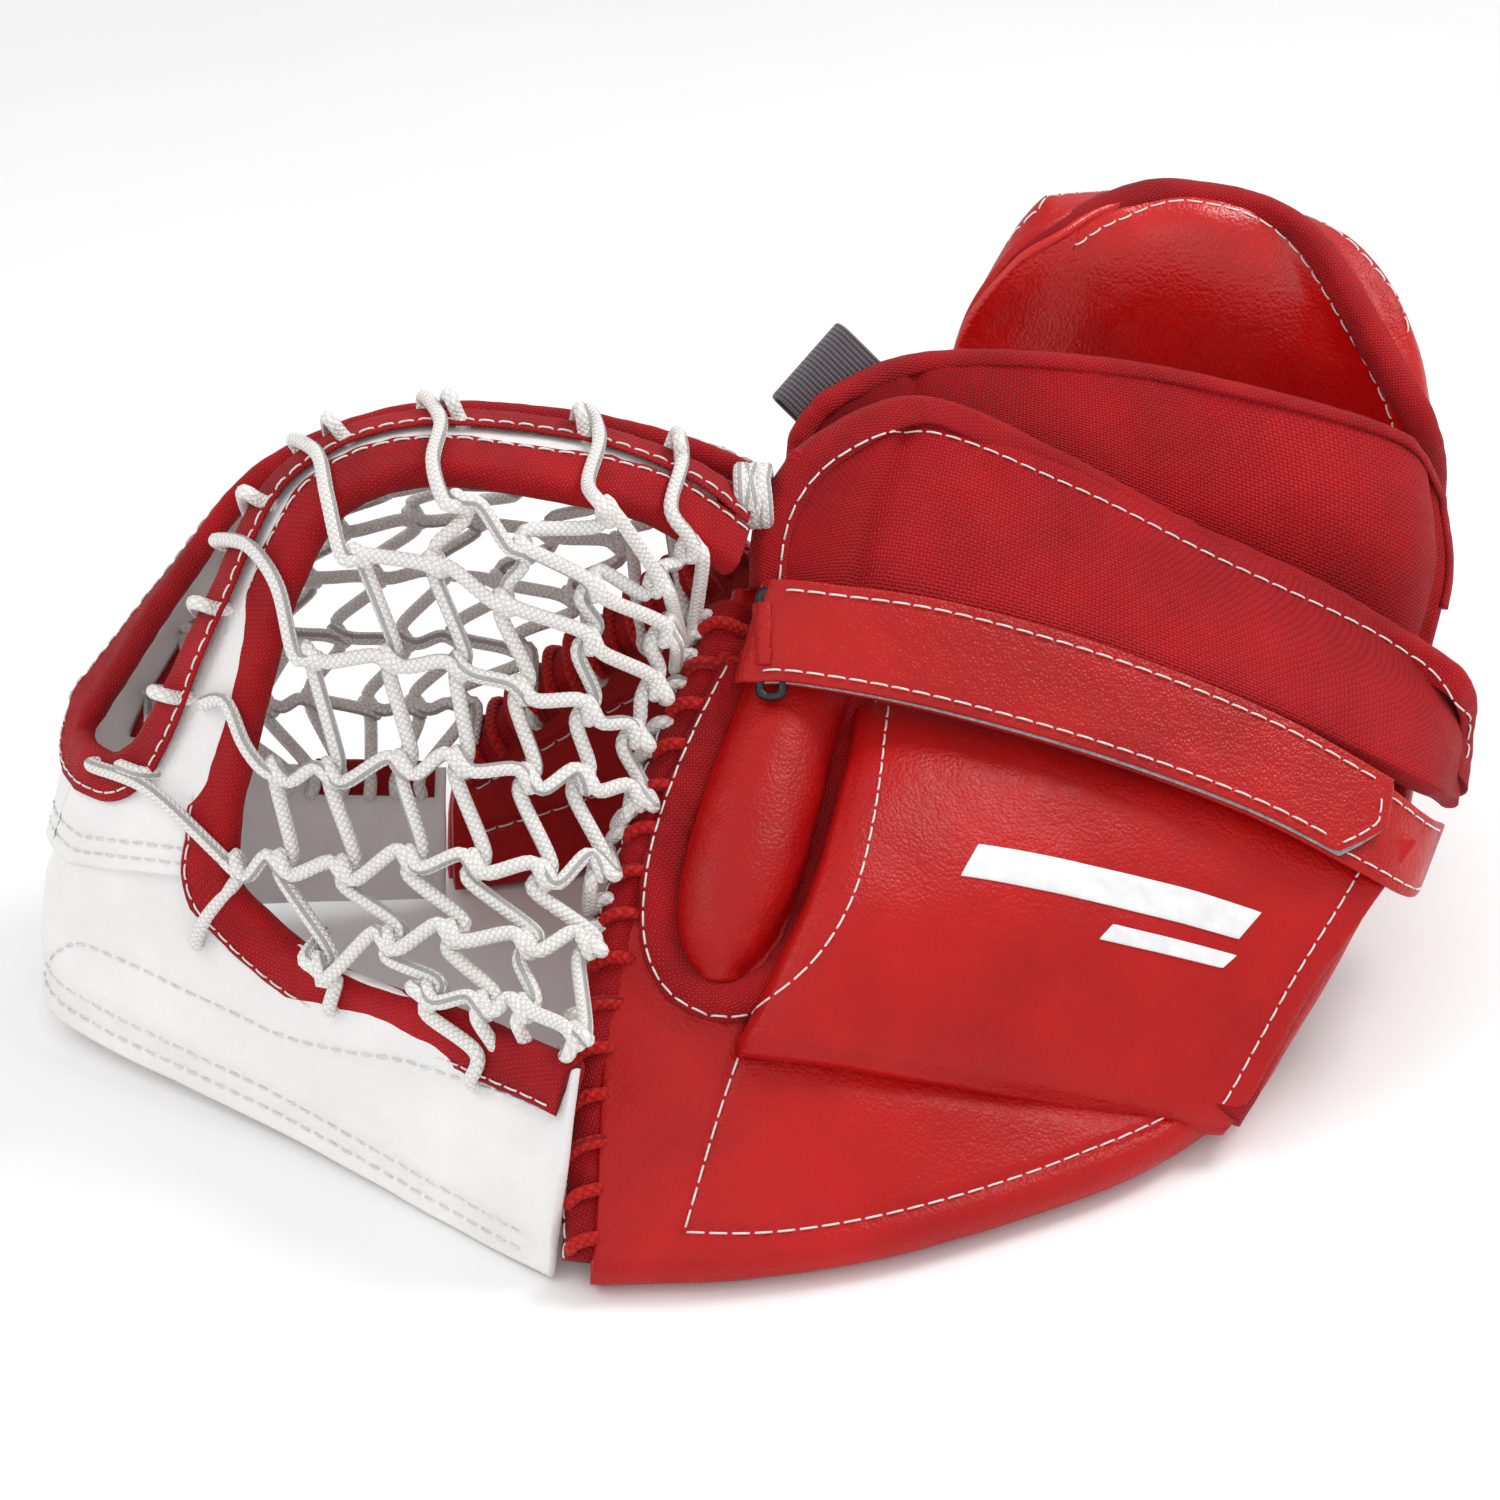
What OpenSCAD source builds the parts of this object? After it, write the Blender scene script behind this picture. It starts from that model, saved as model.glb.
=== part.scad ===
// Ice hockey goalkeeper's catch glove, lying palm down.
// +X runs from the tip of the pocket to the outer edge of the hand, +Y from the fingertips to
// the cuff and +Z up. The origin is on the floor, under the middle of the glove's box.
// Every soft panel is a sheet that follows a hand-placed grid of points: a grid's rows run
// along one edge of the panel, and the sheet lies between two offsets from the smooth surface.

/* [Leather and foam] */
// Thickness of a padded outer shell, leather over foam
shell_t = 5.5; // [3:0.5:7]
// Thickness of a plastic stiffening board
board_t = 2.5; // [1.5:0.5:3]
// Thickness of the palm leather and its felt
palm_t = 5.5; // [3:0.5:7]
// Thickness of the white leather of the pocket tee
tee_t = 4; // [3:0.5:5]
// Greatest thickness of the pad over the back of the fingers
backhand_t = 9; // [7:1:12]
// Thickness of the pads round the wrist
wrist_t = 7; // [5:1:9]
// Thickness of the soft lining inside the cuff
lining_t = 9; // [6:1:12]
// Height of the padded roll over the index finger
roll_h = 15; // [10:1:18]

/* [Bindings and laces] */
// How far a fabric binding stands out of the sheet that it edges, on each side
binding_lip = 0.8; // [0.4:0.2:1.2]
// Diameter of the lace that ties the panels together
lace_d = 4.4; // [3.5:0.2:5]
// Diameter of the cord that the net is woven from
net_d = 4.6; // [3.6:0.2:5]

/* [Strap] */
// Thickness of one layer of the wrist strap
strap_t = 2.2; // [1.6:0.2:2.6]
// Thickness of a hook or loop patch
patch_t = 0.8; // [0.6:0.1:1]
// Width of the grey elastic band
elastic_w = 32; // [25:1:38]

/* [Detail] */
// Steps along a large panel's longer side
steps = 10; // [6:1:14]

/* [Hidden] */
red = "firebrick";
white = "whitesmoke";
gap = 0.8;              // clearance left between neighbouring layers
short_steps = 6;        // steps across a narrow panel
strip_steps = 1;        // steps across a binding

// Back of the finger side: rows from the fingertip rim up to the knuckles
finger_grid = [
    [[-43, -162, 11], [2, -159, 11], [50, -146, 12], [104, -119, 13], [146, -90, 14]],
    [[-41, -120, 52], [5, -121, 52], [58, -108, 40], [108, -90, 28], [158, -74, 21]],
    [[-30, -78, 87], [14, -73, 84], [66, -60, 67], [124, -50, 51], [180, -42, 38]],
    [[-15, -40, 118], [26, -26, 108], [80, -10, 90], [142, -2, 73], [204, 0, 59]],
    [[-2, -8, 142], [42, 20, 130], [98, 40, 110], [158, 50, 93], [220, 54, 80]]];
// Palm heel: rows from the knuckle line back and down to the rim behind the wrist
heel_grid = [
    [[10, 36, 140], [52, 52, 124], [104, 66, 104], [160, 72, 88], [218, 68, 74]],
    [[36, 72, 104], [72, 92, 98], [116, 106, 88], [166, 108, 78], [220, 92, 68]],
    [[52, 98, 58], [88, 122, 56], [128, 136, 52], [174, 132, 50], [222, 106, 54]],
    [[60, 122, 13], [98, 144, 6], [136, 154, 5], [178, 148, 11], [220, 112, 34]]];
// Pad over the back of the fingers: rows from the crease up to the strap
backhand_grid = [
    [[2, -131, 62], [48, -116, 50], [100, -101, 33], [152, -92, 19]],
    [[20, -99, 90], [64, -88, 78], [116, -78, 59], [169, -71, 39]],
    [[29, -64, 106], [78, -57, 95], [134, -51, 78], [188, -53, 57]],
    [[34, -30, 116], [88, -27, 107], [148, -25, 92], [204, -35, 69]]];
// Flap over the wrist, with folded ends: rows from the strap up to the bound edge
flap_grid = [
    [[3, -13, 145], [38, -11, 143], [96, -8, 127], [156, -12, 105], [208, -16, 80], [226, 2, 60]],
    [[5, -2, 160], [44, 14, 164], [98, 16, 144], [154, 14, 120], [212, 10, 92], [231, 22, 72]],
    [[14, 10, 178], [52, 35, 184], [98, 38, 164], [142, 34, 140], [190, 28, 118], [225, 20, 94]]];
// Pad behind the flap, over the wrist
wrist_grid = [
    [[16, 28, 158], [48, 42, 164], [100, 46, 146], [150, 46, 124], [202, 40, 104], [222, 48, 88]],
    [[16, 36, 170], [50, 52, 176], [100, 56, 166], [150, 56, 150], [206, 50, 132], [228, 62, 110]],
    [[22, 42, 180], [54, 60, 187], [100, 66, 184], [144, 70, 175], [206, 70, 157], [225, 76, 136]]];
// Inside of the cuff behind the wrist: rows from the hinge line up to the free edge
cuff_grid = [
    [[66, 96, 128], [108, 126, 104], [150, 134, 96], [194, 124, 90], [226, 96, 92]],
    [[70, 108, 170], [110, 136, 150], [150, 143, 146], [194, 134, 134], [226, 98, 120]],
    [[84, 114, 196], [114, 139, 192], [150, 146, 194], [190, 140, 176], [222, 98, 142]],
    [[102, 122, 206], [122, 140, 212], [148, 150, 214], [182, 142, 202], [214, 98, 160]]];
// Finger-side arm of the pocket's crossbar: rows from the rim up, from the hand to the tip
near_arm_grid = [
    [[-58, -157, 1], [-95, -128, 1], [-136, -97, 3], [-172, -73, 5], [-198, -56, 7]],
    [[-54, -150, 32], [-92, -120, 34], [-132, -88, 38], [-168, -66, 42], [-194, -48, 46]],
    [[-50, -138, 62], [-86, -110, 62], [-126, -80, 64], [-158, -62, 70], [-186, -46, 76]]];
// Tip of the crossbar, from the finger side round to the thumb side
tip_grid = [
    [[-203, -53, 7], [-222, -36, 9], [-226, -14, 10], [-216, 6, 10], [-196, 18, 9]],
    [[-199, -45, 46], [-216, -30, 48], [-221, -10, 46], [-211, 11, 42], [-192, 24, 36]],
    [[-191, -43, 79], [-206, -28, 80], [-213, -4, 76], [-207, 18, 66], [-190, 30, 54]]];
// Thumb-side arm of the crossbar, from the tip to the thumb
far_arm_grid = [
    [[-188, 20, 8], [-162, 26, 6], [-132, 32, 3], [-104, 38, 1]],
    [[-186, 26, 34], [-160, 32, 30], [-130, 38, 26], [-103, 42, 26]],
    [[-184, 32, 52], [-158, 38, 50], [-128, 44, 46], [-102, 46, 44]]];
// Pocket tee: rows follow the arch from its base to the crotch of the thumb, columns cross it
tee_grid = [
    [[-155, -64, 82], [-184, -48, 89], [-206, -24, 90], [-214, 6, 80], [-198, 34, 64]],
    [[-147, -58, 114], [-169, -46, 119], [-188, -24, 119], [-198, 6, 107], [-188, 38, 86]],
    [[-138, -50, 148], [-154, -38, 151], [-169, -16, 149], [-178, 12, 135], [-170, 44, 112]],
    [[-125, -42, 180], [-136, -22, 184], [-145, 0, 180], [-150, 26, 164], [-142, 52, 138]],
    [[-100, -36, 194], [-104, -12, 198], [-106, 12, 194], [-106, 38, 178], [-104, 62, 152]],
    [[-58, -34, 189], [-58, -8, 194], [-58, 18, 190], [-58, 42, 175], [-56, 66, 150]],
    [[-24, -25, 174], [-22, -6, 182], [-20, 16, 179], [-18, 38, 168], [-16, 62, 146]]];
// Palm face of the thumb side: rows from the rim up to the laced edge
thumb_grid = [
    [[-98, 42, 2], [-46, 58, 2], [2, 80, 5], [44, 108, 12]],
    [[-98, 45, 26], [-54, 56, 40], [-5, 70, 56], [32, 88, 66]],
    [[-97, 47, 44], [-62, 46, 78], [-31, 42, 104], [-4, 39, 130]]];
// Net on the finger side, and net on the thumb side
near_net_grid = [
    [[-154, -68, 80], [-126, -86, 70], [-90, -112, 67], [-54, -138, 67]],
    [[-146, -62, 118], [-112, -72, 108], [-78, -88, 98], [-46, -100, 84]],
    [[-138, -58, 152], [-100, -62, 146], [-64, -66, 132], [-36, -66, 108]],
    [[-116, -50, 182], [-86, -50, 186], [-48, -48, 178], [-20, -40, 140]]];
far_net_grid = [
    [[-184, 42, 64], [-156, 46, 58], [-124, 52, 54], [-100, 54, 54]],
    [[-178, 52, 92], [-142, 62, 92], [-104, 66, 88], [-64, 58, 88]],
    [[-162, 60, 118], [-124, 72, 122], [-80, 74, 120], [-34, 60, 116]],
    [[-134, 66, 138], [-104, 72, 145], [-56, 76, 142], [-14, 68, 136]]];
// Wrist strap: its lower edge and its upper edge, from the ring to the outer edge of the hand
strap_grid = [
    [[2, -37, 126], [16, -38, 126], [52, -40, 119], [102, -42, 104], [150, -46, 86], [184, -51, 69],
        [200, -44, 56], [208, -26, 46]],
    [[10, -17, 148], [24, -18, 147], [60, -17, 140], [110, -18, 124], [158, -22, 104], [190, -28, 87],
        [208, -22, 70], [218, -8, 58]]];
strap_steps = 16;       // steps along the whole strap, which all its layers share
shift = [-7, -3.1, 0];  // brings the middle of the glove's box over the origin
// Strip of binding beside the laced edge of the finger side: its outer and its inner edge
finger_binding_grid = [
    [[-54, -157, 4], [-45, -162, 11]],
    [[-52, -117, 48], [-43, -121, 53]],
    [[-41, -76, 83], [-32, -79, 88]],
    [[-26, -38, 113], [-17, -41, 119]],
    [[-12, -9, 136], [-5, -11, 142]]];

// One point of a smooth curve through the points p, t from 0 to 1
function along(p, t) =
    let (n = len(p), x = t * (n - 1), i = max(0, min(floor(x), n - 2)), f = x - i,
        b = p[i], c = p[i + 1],
        a = i > 0 ? p[i - 1] : 2 * b - c,
        d = i + 2 < n ? p[i + 2] : 2 * c - b)
    (2 * b + (c - a) * f + (2 * a - 5 * b + 4 * c - d) * f * f
        + (3 * b - a - 3 * c + d) * f * f * f) / 2;
function unit(v) = v / norm(v);
function surface_at(g, u, v) = shift + along([for (row = g) along(row, u)], v);
function normal_at(g, u, v) =
    let (e = 0.01,
        du = surface_at(g, u + e, v) - surface_at(g, u - e, v),
        dv = surface_at(g, u, v + e) - surface_at(g, u, v - e))
    unit(cross(du, dv));
function off_surface(g, u, v, d) = surface_at(g, u, v) + d * normal_at(g, u, v);
// 0 at the edges of a panel and 1 over most of its middle
function swell(s, t) = (1 - pow(2 * s - 1, 4)) * (1 - pow(2 * t - 1, 4));

// Sheet between two offsets from part of a grid's surface. Each offset has an edge value and
// a value for the middle, so that a pad can swell.
module sheet(g, low, high, u = [0, 1], v = [0, 1], nu = steps, nv = short_steps) {
    low2 = is_list(low) ? low : [low, low];
    high2 = is_list(high) ? high : [high, high];
    function at(pair, s, t) = off_surface(g, u[0] + s * (u[1] - u[0]), v[0] + t * (v[1] - v[0]),
        pair[0] + (pair[1] - pair[0]) * swell(s, t));
    w = nu + 1;
    count = w * (nv + 1);
    points = [for (pair = [high2, low2]) for (j = [0:nv]) for (i = [0:nu])
        at(pair, i / nu, j / nv)];
    rim = concat([for (i = [0:nu - 1]) i], [for (j = [0:nv - 1]) nu + j * w],
        [for (i = [nu:-1:1]) nv * w + i], [for (j = [nv:-1:1]) j * w]);
    faces = concat(
        [for (j = [0:nv - 1]) for (i = [0:nu - 1]) let (k = j * w + i)
            each [[k, k + w, k + w + 1], [k, k + w + 1, k + 1]]],
        [for (j = [0:nv - 1]) for (i = [0:nu - 1]) let (k = count + j * w + i)
            each [[k, k + w + 1, k + w], [k, k + 1, k + w + 1]]],
        [for (k = [0:len(rim) - 1]) let (a = rim[k], b = rim[(k + 1) % len(rim)])
            each [[a, b, b + count], [a, b + count, a + count]]]);
    polyhedron(points, faces, convexity = 6);
}

// Board inside a padded panel: it stops one of the panel's steps short of every edge
module inset_sheet(g, low, high, v_end = 1, nv = steps) {
    sheet(g, low, high, [1 / steps, 1 - 1 / steps], [v_end / nv, v_end - v_end / nv],
        steps - 2, nv - 2);
}

// Round cord along the points p
module cord(p, d, sides = 6) {
    n = len(p);
    function direction(i) = unit(p[min(i + 1, n - 1)] - p[max(i - 1, 0)]);
    function side(i) = unit(cross(direction(i), abs(direction(i)[2]) > 0.9 ? [1, 0, 0] : [0, 0, 1]));
    rings = [for (i = [0:n - 1]) let (a = side(i), b = cross(direction(i), a))
        for (k = [0:sides - 1]) let (q = 360 * k / sides) p[i] + d / 2 * (a * cos(q) + b * sin(q))];
    ends = [[for (k = [0:sides - 1]) k], [for (k = [sides - 1:-1:0]) (n - 1) * sides + k]];
    walls = [for (i = [0:n - 2]) for (k = [0:sides - 1])
        let (a = i * sides + k, b = i * sides + (k + 1) % sides)
        each [[a, a + sides, b + sides], [a, b + sides, b]]];
    polyhedron(rings, concat(ends, walls), convexity = 6);
}

// Frame whose X axis is ax and whose XY plane holds near, moved to p
module place(p, ax, near) {
    x = unit(ax);
    z = unit(cross(x, near));
    y = cross(z, x);
    q = p + shift;
    multmatrix([[x[0], y[0], z[0], q[0]], [x[1], y[1], z[1], q[1]], [x[2], y[2], z[2], q[2]],
        [0, 0, 0, 1]]) children();
}

// ---- Finger side -------------------------------------------------------------------------
board_top = -shell_t - gap;
palm_top = board_top - board_t - gap;

module finger_shell() {
    color(red) sheet(finger_grid, -shell_t, 0, nv = steps);
}

module finger_board() {
    color("ivory") inset_sheet(finger_grid, board_top - board_t, board_top);
}

module finger_palm() {
    color(red) sheet(finger_grid, palm_top - palm_t, palm_top, nv = steps);
}

// Soft stalls that hold the last three fingers against the board
module finger_stalls() {
    for (u = [0.46, 0.62, 0.78])
        color("dimgray") cord([for (v = [0.5:0.06:0.86]) off_surface(finger_grid, u, v, 6.6)], 11, 8);
}

module finger_edge_binding() {
    color(red) sheet(finger_binding_grid, -2.4, 0, nu = 1, nv = 12);
}

module finger_lacing() {
    path = [for (i = [0:15]) let (v = 0.085 + 0.057 * i)
        off_surface(finger_binding_grid, 0.5 + (i % 2 == 0 ? -0.3 : 0.3), v, lace_d / 2 + gap)];
    color("red") cord(path, lace_d);
}

module near_arm() {
    color(white) sheet(near_arm_grid, 0, tee_t, v = [0, 0.86], nv = 4);
}

module near_arm_binding() {
    color(red) sheet(near_arm_grid, -binding_lip, tee_t + binding_lip, v = [0.865, 1], nv = strip_steps);
}

module near_net() {
    color(white) sheet(near_net_grid, -net_d / 2, net_d / 2, nu = 8, nv = 8);
}

// ---- Back of the hand --------------------------------------------------------------------
module backhand_pad() {
    color(red) sheet(backhand_grid, [-6, -backhand_t], [0, 2], [0, 0.94], nv = 8);
}

module backhand_binding() {
    color(red) sheet(backhand_grid, -5, 0, [0.945, 1], [0.08, 0.8], nu = strip_steps, nv = 8);
}

window_u = [0.045, 0.252];    // the index window's sides, on the finger grid
window_v = [0.2, 0.8];       // its foot, and where it goes under the strap
module index_roll() {
    color(red) sheet(finger_grid, gap, [gap + 1, roll_h], [0.085, 0.23], [0.3, 0.78], nu = 6, nv = 8);
}

module index_window_binding() {
    middle = (window_u[0] + window_u[1]) / 2;
    half = (window_u[1] - window_u[0]) / 2;
    foot = 0.14;             // height of the round foot, along the grid's rows
    side_v = [0.76, 0.66, 0.56, 0.46, 0.38];
    path = concat([for (v = side_v) [window_u[0], v]],
        [for (q = [200:20:340]) [middle + half * cos(q), window_v[0] + foot * (1 + sin(q))]],
        [for (i = [4:-1:0]) [window_u[1], side_v[i]]]);
    color(red) cord([for (q = path) off_surface(finger_grid, q[0], q[1], 4.2)], 7);
}

module badge() {
    for (bar = [[[0.28, 0.82], [0.44, 0.53]], [[0.56, 0.82], [0.34, 0.38]]])
        color(white) sheet(backhand_grid, 2.5, 3.3, bar[0], bar[1], nu = 8, nv = 1);
}

module wrist_flap() {
    color(red) sheet(flap_grid, -wrist_t, 0, v = [0, 0.92]);
}

module wrist_flap_binding() {
    color(red) sheet(flap_grid, -wrist_t - binding_lip, binding_lip, v = [0.94, 1],
        nv = strip_steps);
}

module wrist_pad() {
    color(red) sheet(wrist_grid, -wrist_t, 0, v = [0, 0.92]);
}

module wrist_pad_binding() {
    color(red) sheet(wrist_grid, -wrist_t - binding_lip, binding_lip, v = [0.955, 1],
        nv = strip_steps);
}

// ---- Wrist strap -------------------------------------------------------------------------
loop_low = strap_t + 0.1;
hook_low = loop_low + patch_t + 0.4;
free_low = hook_low + patch_t + 0.1;
strap_side = [8, 20, 22];    // across the strap where it turns round the ring
ring_at = [3, -30, 141];     // the ring's bar, which the free layer turns on

// One layer of the strap, between two of its steps
module strap_layer(low, thick, from, to, across = [0, 1]) {
    sheet(strap_grid, low, low + thick, [from, to] / strap_steps, across, nu = to - from, nv = 1);
}

module strap_lower() {
    color(red) strap_layer(0, strap_t, 0, strap_steps);
}

module loop_patch() {
    color("black") strap_layer(loop_low, patch_t, 2, 11, [0.14, 0.86]);
}

module strap_ring() {
    color("black") place(ring_at, [1, 0, 0], strap_side) difference() {
        translate([-8, -17, -1.5]) cube([10, 34, 3]);
        translate([-5.5, -14.5, -3]) cube([5, 29, 6]);
    }
}

module strap_ring_tab() {
    color(red) place(ring_at, [1, 0, 0], strap_side) difference() {
        translate([-11, -10, -3.2]) cube([7, 20, 5.4]);
        translate([-8.4, -20, -1.7]) cube([6, 40, 3.4]);
    }
}

module wrist_strap() {
    color(red) strap_layer(free_low, strap_t, 1, 12);
}

module hook_patch() {
    color("black") strap_layer(hook_low, patch_t, 5, 11, [0.14, 0.86]);
}

// Hairpin of grey elastic that stands out from under the wrist pads
module elastic_strap() {
    t = 1.6;
    color("dimgray") place([17, 62, 196], [0.56, 0.42, 0.5], [0.7, -0.1, -0.7]) rotate([90, 0, 90])
        linear_extrude(elastic_w, center = true) difference() {
            union() {
                translate([0, -4]) square([16, 8]);
                circle(4, $fn = 24);
            }
            translate([0, -4 + t]) square([20, 8 - 2 * t]);
            circle(4 - t, $fn = 24);
        }
}

// ---- Heel and cuff -----------------------------------------------------------------------
module heel_shell() {
    color(red) sheet(heel_grid, -shell_t, 0, nv = steps);
}

module heel_board() {
    color("ivory") inset_sheet(heel_grid, board_top - board_t, board_top);
}

module heel_palm() {
    color(red) sheet(heel_grid, palm_top - palm_t, palm_top, nv = steps);
}

cuff_board_top = -lining_t - gap;
cuff_shell_top = cuff_board_top - board_t - gap;
module cuff_lining() {
    color(red) sheet(cuff_grid, -lining_t, [0, 3], v = [0, 0.91], nv = 8);
}

module cuff_board() {
    color("ivory") inset_sheet(cuff_grid, cuff_board_top - board_t, cuff_board_top, 0.92, 8);
}

module cuff_shell() {
    color(red) sheet(cuff_grid, cuff_shell_top - shell_t, cuff_shell_top, v = [0, 0.92], nv = 8);
}

module cuff_binding() {
    color(red) sheet(cuff_grid, cuff_shell_top - shell_t, 0, v = [0.95, 1], nv = strip_steps);
}

module cuff_lacing() {
    path = [for (i = [0:12]) off_surface(cuff_grid, 0.08 + 0.07 * i, i % 2 == 0 ? 0.05 : 0.1,
        cuff_shell_top - shell_t - lace_d / 2 - gap)];
    color("red") cord(path, lace_d);
}

// ---- Pocket tee --------------------------------------------------------------------------
stem = 0.34;                 // width of a stem, as a share of the tee
edge = 0.07;                 // width of a binding, as a share of the tee
fork = 0.05;                 // where the two stems part, along the arch

module crossbar_tip() {
    color(white) sheet(tip_grid, 0, tee_t, nu = 8, nv = 4);
}

module tee_base() {
    color(white) sheet(tee_grid, 0, tee_t, v = [0, fork], nu = 10, nv = 3);
}

module near_stem() {
    color(white) sheet(tee_grid, 0, tee_t, [edge, stem - edge], [fork + 0.005, 1], nu = 2, nv = 16);
}

module near_stem_bindings() {
    for (u = [0, stem - edge + 0.005])
        color(red) sheet(tee_grid, -binding_lip, tee_t + binding_lip, [u, u + edge - 0.005],
            [fork + 0.005, 1], nu = 1, nv = 16);
}

module far_stem() {
    color(white) sheet(tee_grid, 0, tee_t, [1 - stem + edge, 1 - edge], [fork + 0.005, 1], nu = 2, nv = 16);
}

module far_stem_bindings() {
    for (u = [1 - stem, 1 - edge + 0.005])
        color(red) sheet(tee_grid, -binding_lip, tee_t + binding_lip, [u, u + edge - 0.005],
            [fork + 0.005, 1], nu = 1, nv = 16);
}

module slot_lacing() {
    color(white) sheet(tee_grid, 0, net_d, [stem + 0.01, 1 - stem - 0.01], [fork + 0.02, 0.97],
        nu = 2, nv = 14);
}

// ---- Thumb side --------------------------------------------------------------------------
thumb_board_top = -palm_t - gap;
thumb_hollow = 19;           // room for the thumb between the board and its shell
thumb_in = thumb_board_top - board_t - gap;

module thumb_palm() {
    color(red) sheet(thumb_grid, -palm_t, 0, v = [0, 0.92], nv = 8);
}

module thumb_board() {
    color("ivory") inset_sheet(thumb_grid, thumb_board_top - board_t, thumb_board_top, 0.92, 8);
}

module thumb_shell() {
    color(red) sheet(thumb_grid, [thumb_in - shell_t, thumb_in - shell_t - thumb_hollow],
        [thumb_in, thumb_in - thumb_hollow], v = [0, 0.92], nv = 8);
}

module thumb_stall() {
    color("dimgray") cord([for (u = [0.3:0.08:0.8])
        off_surface(thumb_grid, u, 0.5, thumb_in - 9)], 14, 8);
}

module thumb_edge_binding() {
    color(red) sheet(thumb_grid, thumb_in - shell_t - 1, 1, v = [0.93, 1], nv = strip_steps);
}

module thumb_lacing() {
    path = [for (i = [0:10]) off_surface(thumb_grid, 0.06 + 0.085 * i, i % 2 == 0 ? 0.95 : 0.99,
        1 + lace_d / 2 + gap)];
    color("red") cord(path, lace_d);
}

module far_arm() {
    color(white) sheet(far_arm_grid, -tee_t, 0, v = [0, 0.84], nv = 4, nu = 6);
}

module far_arm_binding() {
    color(red) sheet(far_arm_grid, -tee_t - binding_lip, binding_lip, v = [0.845, 1], nu = 6,
        nv = strip_steps);
}

module far_net() {
    color(white) sheet(far_net_grid, -net_d / 2, net_d / 2, nu = 8, nv = 8);
}

finger_shell();
finger_board();
finger_palm();
finger_stalls();
finger_edge_binding();
finger_lacing();
backhand_pad();
backhand_binding();
index_roll();
index_window_binding();
badge();
wrist_flap();
wrist_flap_binding();
wrist_pad();
wrist_pad_binding();
strap_lower();
loop_patch();
strap_ring();
strap_ring_tab();
elastic_strap();
heel_shell();
heel_board();
heel_palm();
near_arm();
near_arm_binding();
near_net();
wrist_strap();
hook_patch();
cuff_lining();
cuff_board();
cuff_shell();
cuff_binding();
cuff_lacing();
crossbar_tip();
tee_base();
near_stem();
near_stem_bindings();
far_stem();
far_stem_bindings();
slot_lacing();
thumb_palm();
thumb_board();
thumb_shell();
thumb_stall();
thumb_edge_binding();
thumb_lacing();
far_arm();
far_arm_binding();
far_net();
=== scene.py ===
"""Looks of an ice hockey goalkeeper's catch glove, lying palm down.

Lengths and points here are millimetres in the drawing frame that the grids share; place() moves
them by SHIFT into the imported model's frame and into metres. Lights and materials are in
metres. A grid is a set of points that a smooth surface runs through: rows go along one edge of a
panel, and u and v run from 0 to 1 along and across the rows.
"""
import math

import bpy
import numpy as np
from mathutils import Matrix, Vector, noise
from mathutils.bvhtree import BVHTree


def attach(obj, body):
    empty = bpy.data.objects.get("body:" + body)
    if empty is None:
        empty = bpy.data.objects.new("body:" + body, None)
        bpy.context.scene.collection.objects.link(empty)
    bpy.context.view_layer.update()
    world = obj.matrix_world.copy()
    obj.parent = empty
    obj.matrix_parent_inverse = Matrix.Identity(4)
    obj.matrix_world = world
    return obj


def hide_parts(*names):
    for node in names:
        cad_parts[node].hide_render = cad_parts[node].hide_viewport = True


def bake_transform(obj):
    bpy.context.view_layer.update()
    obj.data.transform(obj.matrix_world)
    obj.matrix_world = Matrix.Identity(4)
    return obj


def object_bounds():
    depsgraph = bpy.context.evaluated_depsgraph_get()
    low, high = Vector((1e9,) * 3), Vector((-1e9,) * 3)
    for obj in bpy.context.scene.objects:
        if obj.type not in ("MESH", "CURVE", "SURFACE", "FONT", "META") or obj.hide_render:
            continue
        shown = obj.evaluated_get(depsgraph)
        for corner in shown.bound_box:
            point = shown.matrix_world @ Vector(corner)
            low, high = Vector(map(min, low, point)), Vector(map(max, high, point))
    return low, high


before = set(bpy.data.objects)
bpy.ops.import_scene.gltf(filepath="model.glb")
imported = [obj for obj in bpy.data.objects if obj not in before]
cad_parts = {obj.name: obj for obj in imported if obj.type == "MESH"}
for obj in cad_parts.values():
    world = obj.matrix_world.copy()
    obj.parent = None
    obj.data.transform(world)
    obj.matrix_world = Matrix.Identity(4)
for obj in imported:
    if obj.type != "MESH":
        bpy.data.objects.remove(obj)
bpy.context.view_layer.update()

SHIFT = np.array([-7.0, -3.1, 0.0])
HAND = "hand_and_pocket"
THUMB = "thumb_side"
STRAP = "strap_free_layer"
CUFF = "cuff"
# Thickness of the net cord and the lace, and pitch and length of the stitches of a wide seam
CORD_D = 4.4
LACE_D = 4.0
WIDE_SEAM = (6.4, 5.6)


# ---- Camera, light and floor -------------------------------------------------------------------
def place(points):
    """Millimetres in the drawing frame to metres in the model's frame."""
    return (np.asarray(points, float) + SHIFT) / 1000


camera_data = bpy.data.cameras.new("camera")
camera = bpy.data.objects.new("camera", camera_data)
bpy.context.collection.objects.link(camera)
camera_data.lens = 78.36
camera_data.sensor_width = 36
camera_data.clip_end = 20
camera.location = place([0, -880, 609.7])
camera.rotation_euler = (math.radians(59), 0, 0)
bpy.context.scene.camera = camera


def soft_light(name, location, target, size, power, colour=(1, 1, 1)):
    data = bpy.data.lights.new(name, "AREA")
    data.shape = "DISK"
    data.size = size
    data.energy = power
    data.color = colour
    light = bpy.data.objects.new(name, data)
    bpy.context.collection.objects.link(light)
    light.location = location
    aim = Vector(target) - Vector(location)
    light.rotation_euler = aim.to_track_quat("-Z", "Y").to_euler()


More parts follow.
